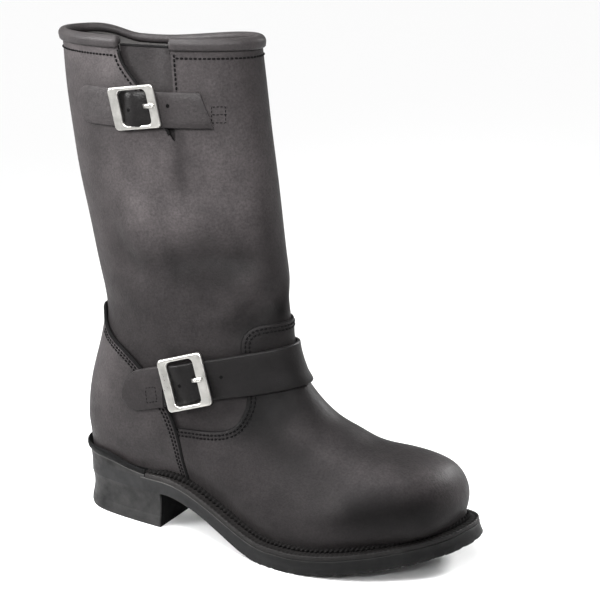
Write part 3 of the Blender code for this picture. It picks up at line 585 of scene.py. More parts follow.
def bump(tree, height, distance, strength, before=None):
    under = {} if before is None else {"Normal": before}
    return addNode(tree, "Bump", {"Height": height, "Distance": distance, "Strength": strength, **under}, "Normal")


def multiplied(tree, first, second):
    return addNode(tree, "Mix", {"Factor": 1.0, "A": first, "B": second}, "Result", data_type="RGBA", blend_type="MULTIPLY")


# painted light and shade: the colour is drawn lighter or darker along one axis of the boot, for how the lamps reach
# each part
def paintedShadeAlong(tree, place, colour, stops, axis):
    span = 0.36  # metres, the boot's height
    spot = toRange(tree, addNode(tree, "SeparateXYZ", {"Vector": place}, axis), 0.0, 1.0, 0.0, span)
    return multiplied(tree, colour, ramp(tree, spot, [(at / span, (tone * 0.5,) * 3) for at, tone in stops]))


leatherLooks = {"dark": (0.0150, 0.0134, 0.0137), "light": (0.0222, 0.0197, 0.0201), "rough": (0.46, 0.6),
                "pores": 800.0, "poreDepth": 0.0002, "mottle": 60.0, "speckle": 620.0, "scuff": 110.0,
                "wrinkle": 160.0, "wrinkleDepth": 0.0006}


def oiledLeather(name, tone=1.0, rough=0.0, shadeByHeight=None, gloss=0.11, wrinkled=1.0, shadeMarked=False):
    s = leatherLooks
    look, tree, shader = newLook(name, s["dark"], 0.5)
    place = addNode(tree, "TexCoord", {}, "Object")
    share = tone * (4 if shadeByHeight else 2)  # the layers below halve it
    dark, light = (tuple(c * share for c in s[shade]) for shade in ("dark", "light"))
    colour = ramp(tree, noise(tree, place, s["mottle"], 5.0, 0.6), [(0.3, dark), (0.72, light)])
    speckle = noise(tree, place, s["speckle"], 3.0, 0.7)
    colour = multiplied(tree, colour, ramp(tree, speckle, [(0.3, (0.36,) * 3), (0.7, (0.64,) * 3)]))
    # painted shade and highlights: the colour is multiplied by the marks stored on the mesh
    if shadeMarked:
        paintedShade = addNode(tree, "Attribute", {}, "Fac", attribute_name="paintedShade")
        colour = multiplied(tree, colour, toRange(tree, paintedShade, 0.0, 2.0, -1.0, 1.0))
    # painted light and shade by height
    if shadeByHeight:
        colour = paintedShadeAlong(tree, place, colour, shadeByHeight, "Z")
    tree.links.new(colour, shader["Base Color"])
    scuff = noise(tree, place, s["scuff"], 6.0, 0.65)
    tree.links.new(toRange(tree, scuff, s["rough"][0] + rough, s["rough"][1] + rough), shader["Roughness"])
    pores = addNode(tree, "TexVoronoi", {"Vector": place, "Scale": s["pores"]}, "Distance")
    normal = bump(tree, noise(tree, place, s["wrinkle"], 4.0, 0.6), s["wrinkleDepth"] * wrinkled, 0.35)
    tree.links.new(bump(tree, pores, s["poreDepth"], 0.5, normal), shader["Normal"])
    shader["Specular IOR Level"].default_value = gloss
    return look


def mouldedRubber(name, dark, light, rough, shadeByLength=None, gloss=0.14):
    look, tree, shader = newLook(name, dark, rough)
    place = addNode(tree, "TexCoord", {}, "Object")
    share = 2 if shadeByLength else 1
    stops = [(0.32, tuple(c * share for c in dark)), (0.7, tuple(c * share for c in light))]
    colour = ramp(tree, noise(tree, place, 60.0, 6.0, 0.65), stops)
    # painted shade by length
    if shadeByLength:
        colour = paintedShadeAlong(tree, place, colour, shadeByLength, "X")
    tree.links.new(colour, shader["Base Color"])
    tree.links.new(toRange(tree, noise(tree, place, 220.0), rough - 0.08, rough + 0.1), shader["Roughness"])
    tree.links.new(bump(tree, noise(tree, place, 900.0, 3.0), 0.0002, 0.4), shader["Normal"])
    shader["Specular IOR Level"].default_value = gloss
    return look


def satinNickel(name):
    look, tree, shader = newLook(name, (0.43, 0.42, 0.40), 0.34, 1.0)
    place = addNode(tree, "TexCoord", {}, "Object")
    wear = noise(tree, place, 140.0, 6.0, 0.7)
    tree.links.new(ramp(tree, wear, [(0.3, (0.36, 0.352, 0.335)), (0.7, (0.50, 0.49, 0.465))]), shader["Base Color"])
    tree.links.new(toRange(tree, wear, 0.26, 0.4), shader["Roughness"])
    tree.links.new(bump(tree, noise(tree, place, 420.0, 3.0), 0.00008, 0.3), shader["Normal"])
    return look


def wovenLining(name):
    look, tree, shader = newLook(name, (0.04, 0.038, 0.037), 0.8)
    nap = noise(tree, addNode(tree, "TexCoord", {}, "Object"), 160.0, 5.0, 0.7)
    tree.links.new(ramp(tree, nap, [(0.3, (0.026, 0.0245, 0.024)), (0.7, (0.052, 0.049, 0.0475))]), shader["Base Color"])
    tree.links.new(bump(tree, nap, 0.0004, 0.4), shader["Normal"])
    return look


def waxedThread(name, colour):
    look, tree, shader = newLook(name, colour, 0.85)
    shader["Specular IOR Level"].default_value = 0.06
    twist = addNode(tree, "TexWave", {"Vector": addNode(tree, "TexCoord", {}, "Object"), "Scale": 700.0}, "Fac")
    tree.links.new(bump(tree, twist, 0.0001, 0.4), shader["Normal"])
    return look


# leathers: tone, change of roughness, painted light and shade by height in metres, gloss
# painted light: the shaft is drawn lighter towards the top and darker low down
shaftLeather = oiledLeather("shaftLeather", 1.0, 0.0, ((0.13, 0.7), (0.17, 0.85), (0.215, 1.25), (0.26, 1.55), (0.33, 1.35)),
                            0.08, shadeMarked=True)
# painted shade: the gusset, sunk in the slit under the flap, is drawn darker than the shaft
shadedGussetLook = oiledLeather("gussetLeather", 0.72)
# painted shade: the vamp is drawn darker on its top slope and near the welt
vampLeather = oiledLeather("vampLeather", 0.92, 0.0, ((0.02, 0.72), (0.04, 0.85), (0.056, 0.92), (0.072, 0.86), (0.09, 0.66),
                                                      (0.15, 0.5)), 0.08, shadeMarked=True)
# painted light: the counter is drawn lighter than the shaft, for the lamp light that falls on it
litCounterLeather = oiledLeather("litCounterLeather", 1.15, shadeMarked=True)
# painted shade and light: the instep strap is drawn darker, the shaft strap lighter
strapLeather = oiledLeather("strapLeather", 0.66, -0.06, ((0.10, 0.34), (0.16, 0.4), (0.30, 1.4)), 0.12)
# painted shade: a near-black, glossier copy of the strap leather for the strap inside the buckle's window
windowShadeLeather = oiledLeather("strapLeatherInWindowShade", 0.2, -0.14, gloss=0.14)
# painted light: the tabs are drawn lighter higher up
tabLeather = oiledLeather("tabLeather", 0.85, 0.06, ((0.10, 0.9), (0.30, 1.5)), wrinkled=2.4)
collarLeather = oiledLeather("collarLeather", 1.15, -0.04, gloss=0.16)
edgeLeather = oiledLeather("rawLeatherEdge", 0.4, 0.1)
lining = wovenLining("shaftLining")
# rubbers: dark, light, roughness, painted shade by length in metres
rubber = mouldedRubber("heelRubber", (0.006, 0.006, 0.0061), (0.026, 0.0257, 0.0254), 0.58)
# painted shade: the sole's side is drawn darker along the forefoot and lighter again at the toe
soleRubber = mouldedRubber("soleRubber", (0.010, 0.010, 0.0103), (0.019, 0.019, 0.0194), 0.58,
                           ((0.03, 1.0), (0.10, 0.55), (0.16, 0.32), (0.26, 0.3), (0.285, 0.6), (0.30, 0.9)))
# painted shade: a darker copy of the heel rubber for the rand's lip
shadedRandRubber = mouldedRubber("shadedRandRubber", (0.0022, 0.0022, 0.0023), (0.0055, 0.0055, 0.0057), 0.6, gloss=0.06)
# painted shade: the pale top-edge line is drawn darker along the forefoot
edgeRubber = mouldedRubber("paleEdgeLine", (0.026, 0.0255, 0.025), (0.062, 0.060, 0.058), 0.5,
                           ((0.05, 1.0), (0.11, 0.6), (0.16, 0.22), (0.26, 0.18), (0.285, 0.5), (0.30, 0.9)))
# painted shade: the welt is drawn darker towards the toe
weltLook = mouldedRubber("weltLeather", (0.012, 0.011, 0.011), (0.022, 0.0205, 0.020), 0.55,
                         ((0.05, 1.0), (0.14, 0.6), (0.26, 0.45)))
treadRubber = mouldedRubber("treadRubber", (0.012, 0.0118, 0.012), (0.026, 0.0255, 0.026), 0.58)
# painted shade: near-black rubber for the heel's breast, in shade under the arch
breastShadeRubber = mouldedRubber("heelBreast", (0.0018, 0.0018, 0.0019), (0.004, 0.004, 0.0042), 0.8, gloss=0.03)
nickel = satinNickel("satinNickel")
thread = waxedThread("waxedThread", (0.0028, 0.0027, 0.0028))
weltThread = waxedThread("weltThread", (0.0075, 0.007, 0.007))
# near-black: partly the piping's own colour, partly painted shade along seams and edges
pipingAndEdgeShadeLook = waxedThread("blackPipingAndEdgeShade", (0.0045, 0.0043, 0.0044))
# painted shade: near-black for the strap holes
holeShadeLook = waxedThread("paintedHoleShade", (0.0012, 0.0012, 0.0012))
board = wovenLining("insoleBoard")
print("looks made")


# painted shade and highlights: stores on each vertex how much darker or paler the marks draw the colour
def paintShadeMarks(piece, marks):
    spots = np.empty(len(piece.data.vertices) * 3)
    piece.data.vertices.foreach_get("co", spots)
    x, y, z = spots.reshape(-1, 3).T * 1000
    total = np.zeros(len(x))
    for side, strength, width, line in marks:
        mask = 1.0 if side == 0 else ease((side * y + 6) / 12)
        total += mask * strength * np.exp(-(nearLine(x, z, smoothLine(line, 4))[0] / width)**2)
    piece.data.attributes.new("paintedShade", "FLOAT", "POINT").data.foreach_set("value", total)


# panels of the upper, as outlines in side view

toToe = [(150, 156), (320, 156), (320, -20)]
slitEdge = smoothLine([(25.4, 343), (27.5, 334), (32, 327), (38.8, 319.5), (57.6, 294), (64.8, 281.5)], 1.5)
slitRing = np.concatenate([[(24.5, 380), (24.6, 350)], slitEdge, [(66.6, 281.5), (65.3, 315), (63.2, 343), (63, 380)]])
vampEdge = smoothLine([(78, 78), (96, 80.6), (103, 84), (107.6, 90.5), (110, 100), (107.4, 118), (104.4, 139),
                       (104.9, 146), (108.6, 151.2), (116, 154.8), (126, 156)], 1.5)
vampRing = np.concatenate([[(66, -20), (65.5, 42), (60.6, 68), (58.8, 77.4)], vampEdge, toToe])
vampSewn = np.concatenate([[(-200, -20), (-200, 77.4), (58.8, 77.4)], vampEdge, toToe])
counterEdge = smoothLine([(-9, 142), (0, 135.5), (16, 127.5), (30, 117), (38, 108.5), (45, 99), (52.5, 87.5), (58, 74),
                          (60.5, 66), (64.5, 42)], 1.5)
counterRing = np.concatenate([[(-80, -20), (-80, 151), (-13, 151)], counterEdge, [(66, 20), (66, -20)]])

# how far inside each outline every point of the surface lies
gx, gy, gz = np.moveaxis(skin, 2, 0)
slitInside = np.where(gy < -10, insideDistance(gx, gz, slitRing), -60.0)
vampSew, counterSew = insideDistance(gx, gz, vampSewn), insideDistance(gx, gz, counterRing)
counterField = np.minimum(counterSew, gz - weltTop(gx) - randLip(gx) - 0.6)
fromCollar = np.concatenate([np.cumsum(np.linalg.norm(np.diff(skin, axis=0), axis=2)[::-1], axis=0)[::-1],
                             np.zeros((1, skin.shape[1]))])

# under side, upper side, drop of the cut edge
layerHeights = {"upper": (-bootSizes["wall"], 0.0, 0.2), "vamp": (0.3, 2.1, 0.25), "heel_counter": (0.3, 2.5, 0.25)}

for name, node, field, looks in (
        ("upperLeather", "upper", -slitInside, [shaftLeather, lining, edgeLeather]),
        ("vampPanel", "vamp", insideDistance(gx, gz, vampRing), [vampLeather, edgeLeather]),
        ("heelCounter", "heel_counter", counterField, [litCounterLeather, edgeLeather])):
    piece, outerCount = layerPiece(name, field, *layerHeights[node])
    faceLooks = np.full(len(piece.data.polygons), len(looks) - 1)  # the last look is on the cut edge
    faceLooks[:2 * outerCount] = np.repeat([0, len(looks) - 2], outerCount)
    finishPiece(piece, looks, [node], faceLooks)
    # painted shade and highlights from the marks above
    paintShadeMarks(piece, paintedShadeMarks[node])

# seams
seamSizes = {"pitch": 3.0, "length": 2.4, "radius": 0.7, "piping": 1.4, "vampCord": 0.6, "slitCord": 1.1}


def sewn(field, level, height, keep):
    for line, normals in seamLines(field, level, height):
        addStitches(line, normals, seamSizes["pitch"], seamSizes["length"], seamSizes["radius"], keep)


def piped(field, level, height, radius, lift, keep):
    for line, normals in seamLines(field, level, height):
        kept = np.array([bool(keep(p)) for p in line])
        addCord(line[kept], normals[kept], radius, lift)


def offCounter(p):
    return p[0] < 200 and insideDistance(np.array([p[0]]), np.array([p[2]]), counterRing)[0] < -1.0


def overRand(p, gap):
    return p[2] > weltTop(p[0]) + randLip(p[0]) + gap


for level in (2.2, 4.8):
    sewn(vampSew, level, layerHeights["vamp"][1], offCounter)
for level in (2.2, 4.4):
    sewn(counterSew, level, layerHeights["heel_counter"][1], lambda p: p[0] > -9 and overRand(p, 4))
sewn(np.minimum(fromCollar, 60.0), 6.8, 0.05, lambda p: p[1] > -10 or p[0] < 23 or p[0] > 66)
sewn(slitInside, -2.0, 0.05, lambda p: p[0] > 63 and 305 < p[2] < 338)
sewn(slitInside, -3.4, 0.05, lambda p: p[0] < 62 and 297 < p[2] < 336)

# piped edges of the counter, of the vamp and of the slit's flap: near-black cords, partly piping and partly painted
# shade along the raised edges
piped(counterSew, -0.5, 1.7, seamSizes["piping"], 0.0, lambda p: p[0] < 66 and overRand(p, 0.5))
piped(vampSew, -0.1, 1.3, seamSizes["vampCord"], 0.0, offCounter)
piped(slitInside, 0.0, 0.0, seamSizes["slitCord"], -0.4, lambda p: p[0] < 63 and 284 < p[2] < 342)
print("seams sewn")


# placing things on the outer surface

surface = bmesh.new()
surfacePoints = [surface.verts.new(p) for p in skin.reshape(-1, 3)]
for a, b, c, d in gridFaces(0, *skin.shape[:2]):
    surface.faces.new([surfacePoints[k] for k in (a, d, c, b)])
bmesh.ops.remove_doubles(surface, verts=surface.verts, dist=0.0005)
surface.normal_update()
skinTree = BVHTree.FromBMesh(surface)
surface.free()


def skinHit(x, z, bearing=0.0, reach=3.0):
    ahead = Vector((math.sin(bearing), -math.cos(bearing), 0))
    beside = Vector((math.cos(bearing), math.sin(bearing), 0))
    start = Vector((x, 0, z))
    point = skinTree.ray_cast(start, ahead)[0]
    total = Vector()
    for shift, rise in ((0, 0), (1, 0), (-1, 0), (0, 1), (0, -1)):
        near = skinTree.ray_cast(start + reach * (shift * beside + rise * Vector((0, 0, 1))), ahead)[1]
        if near is not None:
            total += near if near.dot(ahead) > 0 else -near
    return np.array(point), np.array(total.normalized())


# collar, gusset and back seam
collarSizes = {"section": [(0.45, 0.4), (0.45, -1.8), (1.5, -1.8), (2.4, 0.4), (2.7, 2.4), (2.0, 4.6), (0.4, 6.0),
                           (-1.6, 6.3), (-3.6, 5.4), (-4.6, 3.4), (-4.2, 1.4), (-2.8, 0.4)],
               "sides": 24, "slit": (24.5, 64.0), "ends": [(0.94, 0.7), (0.78, 1.3), (0.5, 1.7)]}


def closedCurve(points, count):
    points = np.asarray(points, float)
    wrapped = np.concatenate([points[-3:], points, points[:4]])
    along = runLength(wrapped)
    return spline(along, wrapped, np.linspace(along[3], along[3 + len(points)], count, endpoint=False))


def collarRing():
    edge, below = skin[-1][:-1], skin[-4][:-1]
    half, count = len(edge) // 2, len(edge)
    back, front = (float(np.interp(x, edge[:half, 0], np.arange(half))) for x in collarSizes["slit"])
    section = closedCurve(collarSizes["section"], collarSizes["sides"])
    rings = []
    for place in [front, *range(int(front) + 1, count), *range(int(back) + 1), back]:
        k, part = int(place), place - int(place)
        here, under = (line[k] * (1 - part) + line[(k + 1) % count] * part for line in (edge, below))
        run = edge[(k + 2) % count] - edge[k - 2]
        out = np.array([run[1], -run[0], 0.0]) / np.hypot(run[0], run[1])
        up = (here - under) / np.linalg.norm(here - under)
        rings.append(np.array([here + out * a + up * b for a, b in section]))
    for end, after in ((0, 1), (-1, -2)):  # rounded ends
        centre = rings[end].mean(axis=0)
        past = centre - rings[after].mean(axis=0)
        past /= np.linalg.norm(past)
        caps = [centre + (rings[end] - centre) * scale + past * step for scale, step in collarSizes["ends"]]
        rings = caps[::-1] + rings if end == 0 else rings + caps
    return rings


finishPiece(loftPiece("collarRoll", collarRing(), sharp=60), [collarLeather], ["collar_binding"])

gussetSizes = {"thick": 1.4, "depth": 3.4, "flush": 0.4, "steps": 20, "highest": 334.0, "cord": 1.0,
               "rows": [(279, 55, 71), (292, 48, 71), (306, 38, 71), (320, 29, 70), (334, 20, 69), (337.6, 20, 69),
                        (338.2, 25.6, 63.0), (342.5, 25.6, 63.0)]}


def gussetPanel():
    s, rings = gussetSizes, []
    for z, rear, front in s["rows"]:
        over, under = [], []
        for x in np.linspace(rear, front, s["steps"]):
            point, normal = skinHit(x, min(z, s["highest"]))
            point[2] = z
            sewnIn = ease((x - 50) / 13) * ease((z - 292) / 8)
            depth = s["depth"] + (s["flush"] - s["depth"]) * sewnIn
            over.append(point - depth * normal)
            under.append(point - (depth + s["thick"]) * normal)
        rings.append(over + under[::-1])
    # a near-black cord along the gusset's top: partly its edge, partly painted shade under the flap
    addCord((np.array(over) + np.array(under)) / 2, np.tile([0.0, 0.0, 1.0], (s["steps"], 1)), s["cord"], 0.1)
    return loftPiece("gussetLeather", rings, sharp=40)


finishPiece(gussetPanel(), [shadedGussetLook], ["gusset"])

seamStrip = {"from": 152, "to": 338, "rows": 64,
             "section": [(-2.6, 0.6), (-2.5, 1.2), (-1.7, 1.8), (-0.6, 2.0), (0.6, 2.0), (1.7, 1.8), (2.5, 1.2), (2.6, 0.6)]}


def backStrip():
    rings = []
    for z in np.linspace(seamStrip["from"], seamStrip["to"], seamStrip["rows"]):
        point, normal = skinHit(68.0, z, -math.pi / 2)
        rings.append([point + np.array([0.0, across, 0.0]) + normal * out for across, out in seamStrip["section"]])
    return loftPiece("backSeamPiping", rings, sharp=60)


finishPiece(backStrip(), [pipingAndEdgeShadeLook], ["back_seam"])

# straps and their tabs
buckleSizes = {
    "instep": {"x": 65.0, "z": 112.4, "slope": 17.0, "pitch": -7.5, "shift": (3.4, 1.0), "along": 35.0, "across": 37.6,
               "rear": 7.0, "front": 7.8, "side": 3.0, "height": 6.1, "thick": 2.6},
    "shaft": {"x": 38.0, "z": 301.8, "slope": 7.5, "pitch": 8.7, "shift": (3.0, 0.9), "along": 34.6, "across": 29.6,
              "rear": 7.0, "front": 6.4, "side": 2.8, "height": 3.9, "thick": 2.4},
}
strapSizes = {"thick": 2.6, "hump": 2.3, "humpRun": 11.0, "barAlong": 1.0, "chape": 2.2, "windowShadeInset": 3.0,
              "instep": {"lift": (96.0, 12.0, 0.345, 0.00085), "half": 15.0, "clear": 3.0, "slant": 0.0,
                         "centre": 68.0, "turns": (-26, 206), "stations": 130},
              "shaft": {"lift": (302.0, 40.0, 0.0, 0.0), "half": 11.7, "clear": 0.5, "slant": 4.2,
                        "run": (25, 86), "stations": 60}}
tabSizes = {"instep": (15.5, 49.8, 15.4), "shaft": (-11.0, 24.0, 12.8)}  # rounded end, straight end, half width
strapSection = [(-0.97, 0.0), (-1.0, 0.2), (-1.0, 0.55), (-0.975, 0.86), (-0.92, 0.98), (-0.5, 1.0), (0.0, 1.0), (0.5, 1.0),
                (0.92, 0.98), (0.975, 0.86), (1.0, 0.55), (1.0, 0.2), (0.97, 0.0), (0.0, 0.0)]


def liftAt(lift, x):
    base, start, slope, droop = lift
    return base + slope * (x - start) - droop * (x - start)**2


def alongBuckle(key, x, z):
    size, turn = buckleSizes[key], math.radians(buckleSizes[key]["slope"])
    return (x - size["x"]) * math.cos(turn) + (z - size["z"]) * math.sin(turn)


def humpAt(key, x, z):
    share = min(abs(alongBuckle(key, x, z) - strapSizes["barAlong"]) / strapSizes["humpRun"], 1.0)
    return strapSizes["hump"] * math.cos(share * math.pi / 2)**2


def inWindow(key, x, z):
    size = buckleSizes[key]
    return abs(alongBuckle(key, x, z) - size["shift"][0]) < size["along"] / 2 - strapSizes["windowShadeInset"]


def strapBand(name, node, looks, stations, key, thick, buckle=False):
    size, shares = strapSizes[key], sorted({s for s, _ in strapSection})
    rings, shadedInWindow = [], []
    for n, (x, bearing, half) in enumerate(stations):
        place, lean = x, size["slant"] * ease(n / len(stations)) if buckle else 0.0
        for _ in range(4):
            place = skinHit(x, liftAt(size["lift"], place), bearing)[0][0]
        raised = buckle and math.cos(bearing) > 0.3  # the buckles are on the outer side
        found = {}
        for share in shares:
            point, normal = skinHit(x - share * lean, liftAt(size["lift"], place) + share * half, bearing)
            found[share] = point, normal, size["clear"] + (humpAt(key, point[0], point[2]) if raised else 0.0)
        # painted shade on the strap inside the buckle's window
        shadedInWindow.append(raised and inWindow(key, *found[0.0][0][[0, 2]]))
        rings.append([found[s][0] + found[s][1] * (found[s][2] + level * thick) for s, level in strapSection])
    piece = loftPiece(name, rings, sharp=60)
    faceLooks = np.zeros(len(piece.data.polygons), int)
    faceLooks[:(len(rings) - 1) * len(strapSection)] = np.repeat(shadedInWindow[:-1], len(strapSection))
    finishPiece(piece, looks, [node], faceLooks)


def makeStraps():
    instep, shaft = strapSizes["instep"], strapSizes["shaft"]
    turns = np.radians(np.linspace(*instep["turns"], instep["stations"]))
    runs = {"instep": [(instep["centre"], turn, instep["half"]) for turn in turns],
            "shaft": [(x, 0.0, shaft["half"]) for x in np.linspace(*shaft["run"], shaft["stations"])]}
    for key, run in runs.items():
        strapBand(key + "StrapLeather", key + "_strap", [strapLeather, windowShadeLeather], run, key, strapSizes["thick"], True)
    turns = np.radians(np.linspace(10, 90, 14))
    for key, (start, end, half) in tabSizes.items():
        run = [(start + half * (1 - math.cos(turn)), 0.0, half * math.sin(turn)) for turn in turns]
        run += [(x, 0.0, half) for x in np.linspace(start + half, end, 10)[1:]]
        strapBand(key + "Tab", key + "_chape", [tabLeather], run, key, strapSizes["chape"])


makeStraps()


# buckles
buckleShape = {"corner": 3.2, "window": 3.2, "cornerSteps": 7, "pinSides": 14, "pinAcross": 0.5,
               "outer": [(-0.5, 0.0), (-0.1, 0.18), (0.0, 0.45), (-0.12, 0.75), (-0.45, 0.94), (-1.0, 1.0)],
               "inner": [(0.9, 1.0), (0.4, 0.94), (0.1, 0.76), (0.0, 0.45), (0.0, 0.0)],
               # along from the window's front, rise over the frame, half the width, height
               "pin": [(-4.6, -2.6, 1.2, 1.4), (-3.6, -0.9, 1.5, 2.0), (-1.6, 0.2, 1.6, 2.2), (1.0, 0.8, 1.7, 2.1),
                       (3.4, 0.8, 1.6, 1.9), (4.6, 0.65, 1.1, 1.3), (5.0, 0.6, 0.4, 0.5)]}


def roundedLoop(left, right, half, radius):
    points = []
    for x, y, start in ((right - radius, half - radius, 0), (left + radius, half - radius, 90),
                        (left + radius, radius - half, 180), (right - radius, radius - half, 270)):
        for step in range(buckleShape["cornerSteps"] + 1):
            turn = math.radians(start + 90 * step / buckleShape["cornerSteps"])
            points.append((x + radius * math.cos(turn), y + radius * math.sin(turn)))
    return points


def buckleFrame(key):
    size = buckleSizes[key]
    middle, out = skinHit(size["x"], size["z"])
    turn, tip = math.radians(size["slope"]), math.radians(size["pitch"])
    along = np.array([math.cos(turn), 0.0, math.sin(turn)])
    along -= out * out.dot(along)
    along /= np.linalg.norm(along)
    across = np.cross(out, along)
    middle = middle + along * size["shift"][0] + across * size["shift"][1]
    lean = across * math.cos(tip) + out * math.sin(tip)  # the frame leans on the strap
    return lambda a, c, h: middle + along * a + lean * c + out * h


def makeBuckle(key):
    size, shape, place = buckleSizes[key], buckleShape, buckleFrame(key)
    low, thick, half = size["height"], size["thick"], size["across"] / 2
    back, front = -size["along"] / 2, size["along"] / 2
    inBack, inFront = back + size["rear"], front - size["front"]
    loops = [(roundedLoop(back - grow, front + grow, half + grow, max(shape["corner"] + grow, 0.6)), level)
             for grow, level in shape["outer"]]
    loops += [(roundedLoop(inBack - grow, inFront + grow, half - size["side"] + grow, shape["window"] + grow), level)
              for grow, level in shape["inner"]]
    rings = [[place(a, c, low + thick * level) for a, c in loop] for loop, level in loops]
    finishPiece(loftPiece(key + "BuckleFrame", rings, True, 70), [nickel], [key + "_buckle"])
    turns = np.linspace(0, 2 * math.pi, shape["pinSides"], endpoint=False)
    rings = [[place(inFront + a, shape["pinAcross"] + wide * math.cos(v), low + thick + rise + tall / 2 * math.sin(v))
              for v in turns] for a, rise, wide, tall in shape["pin"]]
    finishPiece(loftPiece(key + "BucklePin", rings), [nickel], [key + "_buckle_prong"])


for key in buckleSizes:
    makeBuckle(key)

# the strap holes are drawn as near-black discs on the strap: painted shade for their depth
holeSizes = {"places": [(91.8, 119.8, "instep"), (64.0, 111.4, "instep"), (62.5, 305.0, "shaft"), (36.4, 301.2, "shaft")],
             "rings": [(1.2, -0.3), (1.15, 0.26), (0.6, 0.3), (0.01, 0.3)], "sides": 18}

for x, z, key in holeSizes["places"]:
    point, normal = skinHit(x, z)
    height = strapSizes[key]["clear"] + humpAt(key, x, z) + strapSizes["thick"]
    side = np.cross(normal, [0.0, 0.0, 1.0])
    side /= np.linalg.norm(side)
    up = np.cross(side, normal)
    addBits(holeShadeBits, [circle(point + normal * (height + rise), side, up, radius, holeSizes["sides"])
                       for radius, rise in holeSizes["rings"]], False)

# small sewn squares, as lines in side view with their height over the upper
patchSizes = {"pitch": 2.6, "length": 2.6 * 0.74, "radius": 0.3}
patchLines = [
    ([(88.8, 304.4), (96.2, 304.3), (96.4, 293.9), (88.9, 294.0), (88.8, 304.4)], 0.05),
    ([(88.8, 299.3), (96.3, 299.2)], 0.05),
    ([(36.0, 104.5), (44.0, 107.0), (45.5, 96.5), (37.5, 94.0), (36.0, 104.5)],
     strapSizes["instep"]["clear"] + strapSizes["chape"]),
]

for line, height in patchLines:
    line = np.array(line)
    along = runLength(line)
    spots = pickAlong(line, along, np.linspace(0, along[-1], int(along[-1]) + 2))
    points, normals = (np.array(column) for column in zip(*(skinHit(x, z) for x, z in spots)))
    addStitches(points + normals * height, normals, patchSizes["pitch"], patchSizes["length"], patchSizes["radius"])

for name, bits, look in (("strapHoleShades", holeShadeBits, holeShadeLook), ("leatherStitches", threadBits, thread),
                         ("edgePipingAndShade", cordBits, pipingAndEdgeShadeLook)):
    finishPiece(makePiece(name, bits["points"], bits["faces"]), [look])


# sole
treadSizes = {"depth": 1.8, "pitchAlong": 17.0, "pitchAcross": 11.0, "width": 1.5, "border": 6.5, "borderWidth": 1.6,
              "step": 0.95, "across": 124, "tuck": 0.6, "island": 21.0, "islandWidth": 2.6}


def groove(distance, width, depth):
    return depth * (1 - ease((np.abs(distance) - width * 0.3) / (width * 0.45)))


soleLateral, soleMedial, _, soleFront = outlineSides(soleFlare)


def treadCut(x, y):
    s = treadSizes
    u, v = x / s["pitchAlong"], (y - 0.06 * x) / s["pitchAcross"]
    slope = 1 / math.hypot(1 / s["pitchAlong"], 1 / s["pitchAcross"])
    inset = np.minimum(np.minimum(y - soleLateral(x), soleMedial(x) - y), (soleFront - x) * 1.1)
    wide = s["width"] + (s["islandWidth"] - s["width"]) * ease((inset - s["island"]) / 2)
    first, second = (groove((np.abs(w % 1 - 0.5) - 0.5) * slope, wide, s["depth"]) for w in (u + v, u - v))
    return np.maximum(np.maximum(first, second), groove(inset - s["border"], s["borderWidth"], s["depth"]))


def addBottom(points, faces, xs, count, edges, rise):
    share, rows = np.linspace(0, 1, count), []
    for x in xs:
        low, high = edges(x)
        y = low + (high - low) * share
        rows.append(np.column_stack([np.full_like(y, x), y, rise(x, y, low, high)]))
    return np.concatenate([points, *rows]), faces + gridFaces(len(points), len(xs), count)


# wall of the sole: share of the way to the top outline, inset, height over the bottom or depth under the top
soleSizes = {"stations": 900, "paleEdgeFrom": 27.0,
             "wall": [(0, 0.7, 0.0, None), (0, 0.2, 0.25, None), (0, 0.0, 0.9, None), (0.5, 0.15, 4.6, None),
                      (1, 0.1, None, 1.3), (1, -0.1, None, 0.75), (1, -0.05, None, 0.3), (1, 0.35, None, 0.0),
                      (1, 4.0, None, 0.0)]}


def makeOutsole():
    count = soleSizes["stations"]
    loop, topLoop = outlineLoop(soleFlare, count), outlineLoop(0.0, count)
    inward = outlineLoop(lambda x: soleFlare(x) + 1.0, count) - loop
    rings = []
    for share, inset, low, high in soleSizes["wall"]:
        start, run = (46, 4) if high is None else (22, 12)
        edge = 1.0 if inset > 3 else ease((topLoop[:, :1] - start) / run)
        xy = loop * (1 - share) + topLoop * share + inward * inset * edge
        z = soleBottom(xy[:, 0]) + low if high is None else soleTop(xy[:, 0]) - high
        if high is None and low < 1:
            cut = treadCut(xy[:, 0], xy[:, 1]) * ease((xy[:, 0] - 110) / 40)
            z = z + np.minimum(cut, 0.55) * (1 - low / 1.2)
        rings.append(np.column_stack([xy, z]))
    walls, tuck = ringFaces(len(rings), count, caps=False), treadSizes["tuck"]

    def rise(x, y, low, high):
        return soleBottom(x) + (treadCut(np.full_like(y, x), y) if x > bootSizes["heelBreast"] else np.zeros_like(y))

    points, faces = addBottom(np.concatenate(rings), walls, np.arange(-30.0, soleFront - tuck, treadSizes["step"]),
                              treadSizes["across"], lambda x: (soleLateral(x) + tuck, soleMedial(x) - tuck), rise)
    piece = makePiece("outsoleRubber", points, faces, 45)
    faceLooks = np.zeros(len(piece.data.polygons), int)
    faceLooks[5 * count:7 * count] = np.tile(topLoop[:, 0] > soleSizes["paleEdgeFrom"], 2)  # the paler line along the top edge
    faceLooks[len(walls):] = 2  # the tread
    finishPiece(piece, [soleRubber, edgeRubber, treadRubber], ["outsole"], faceLooks)


makeOutsole()

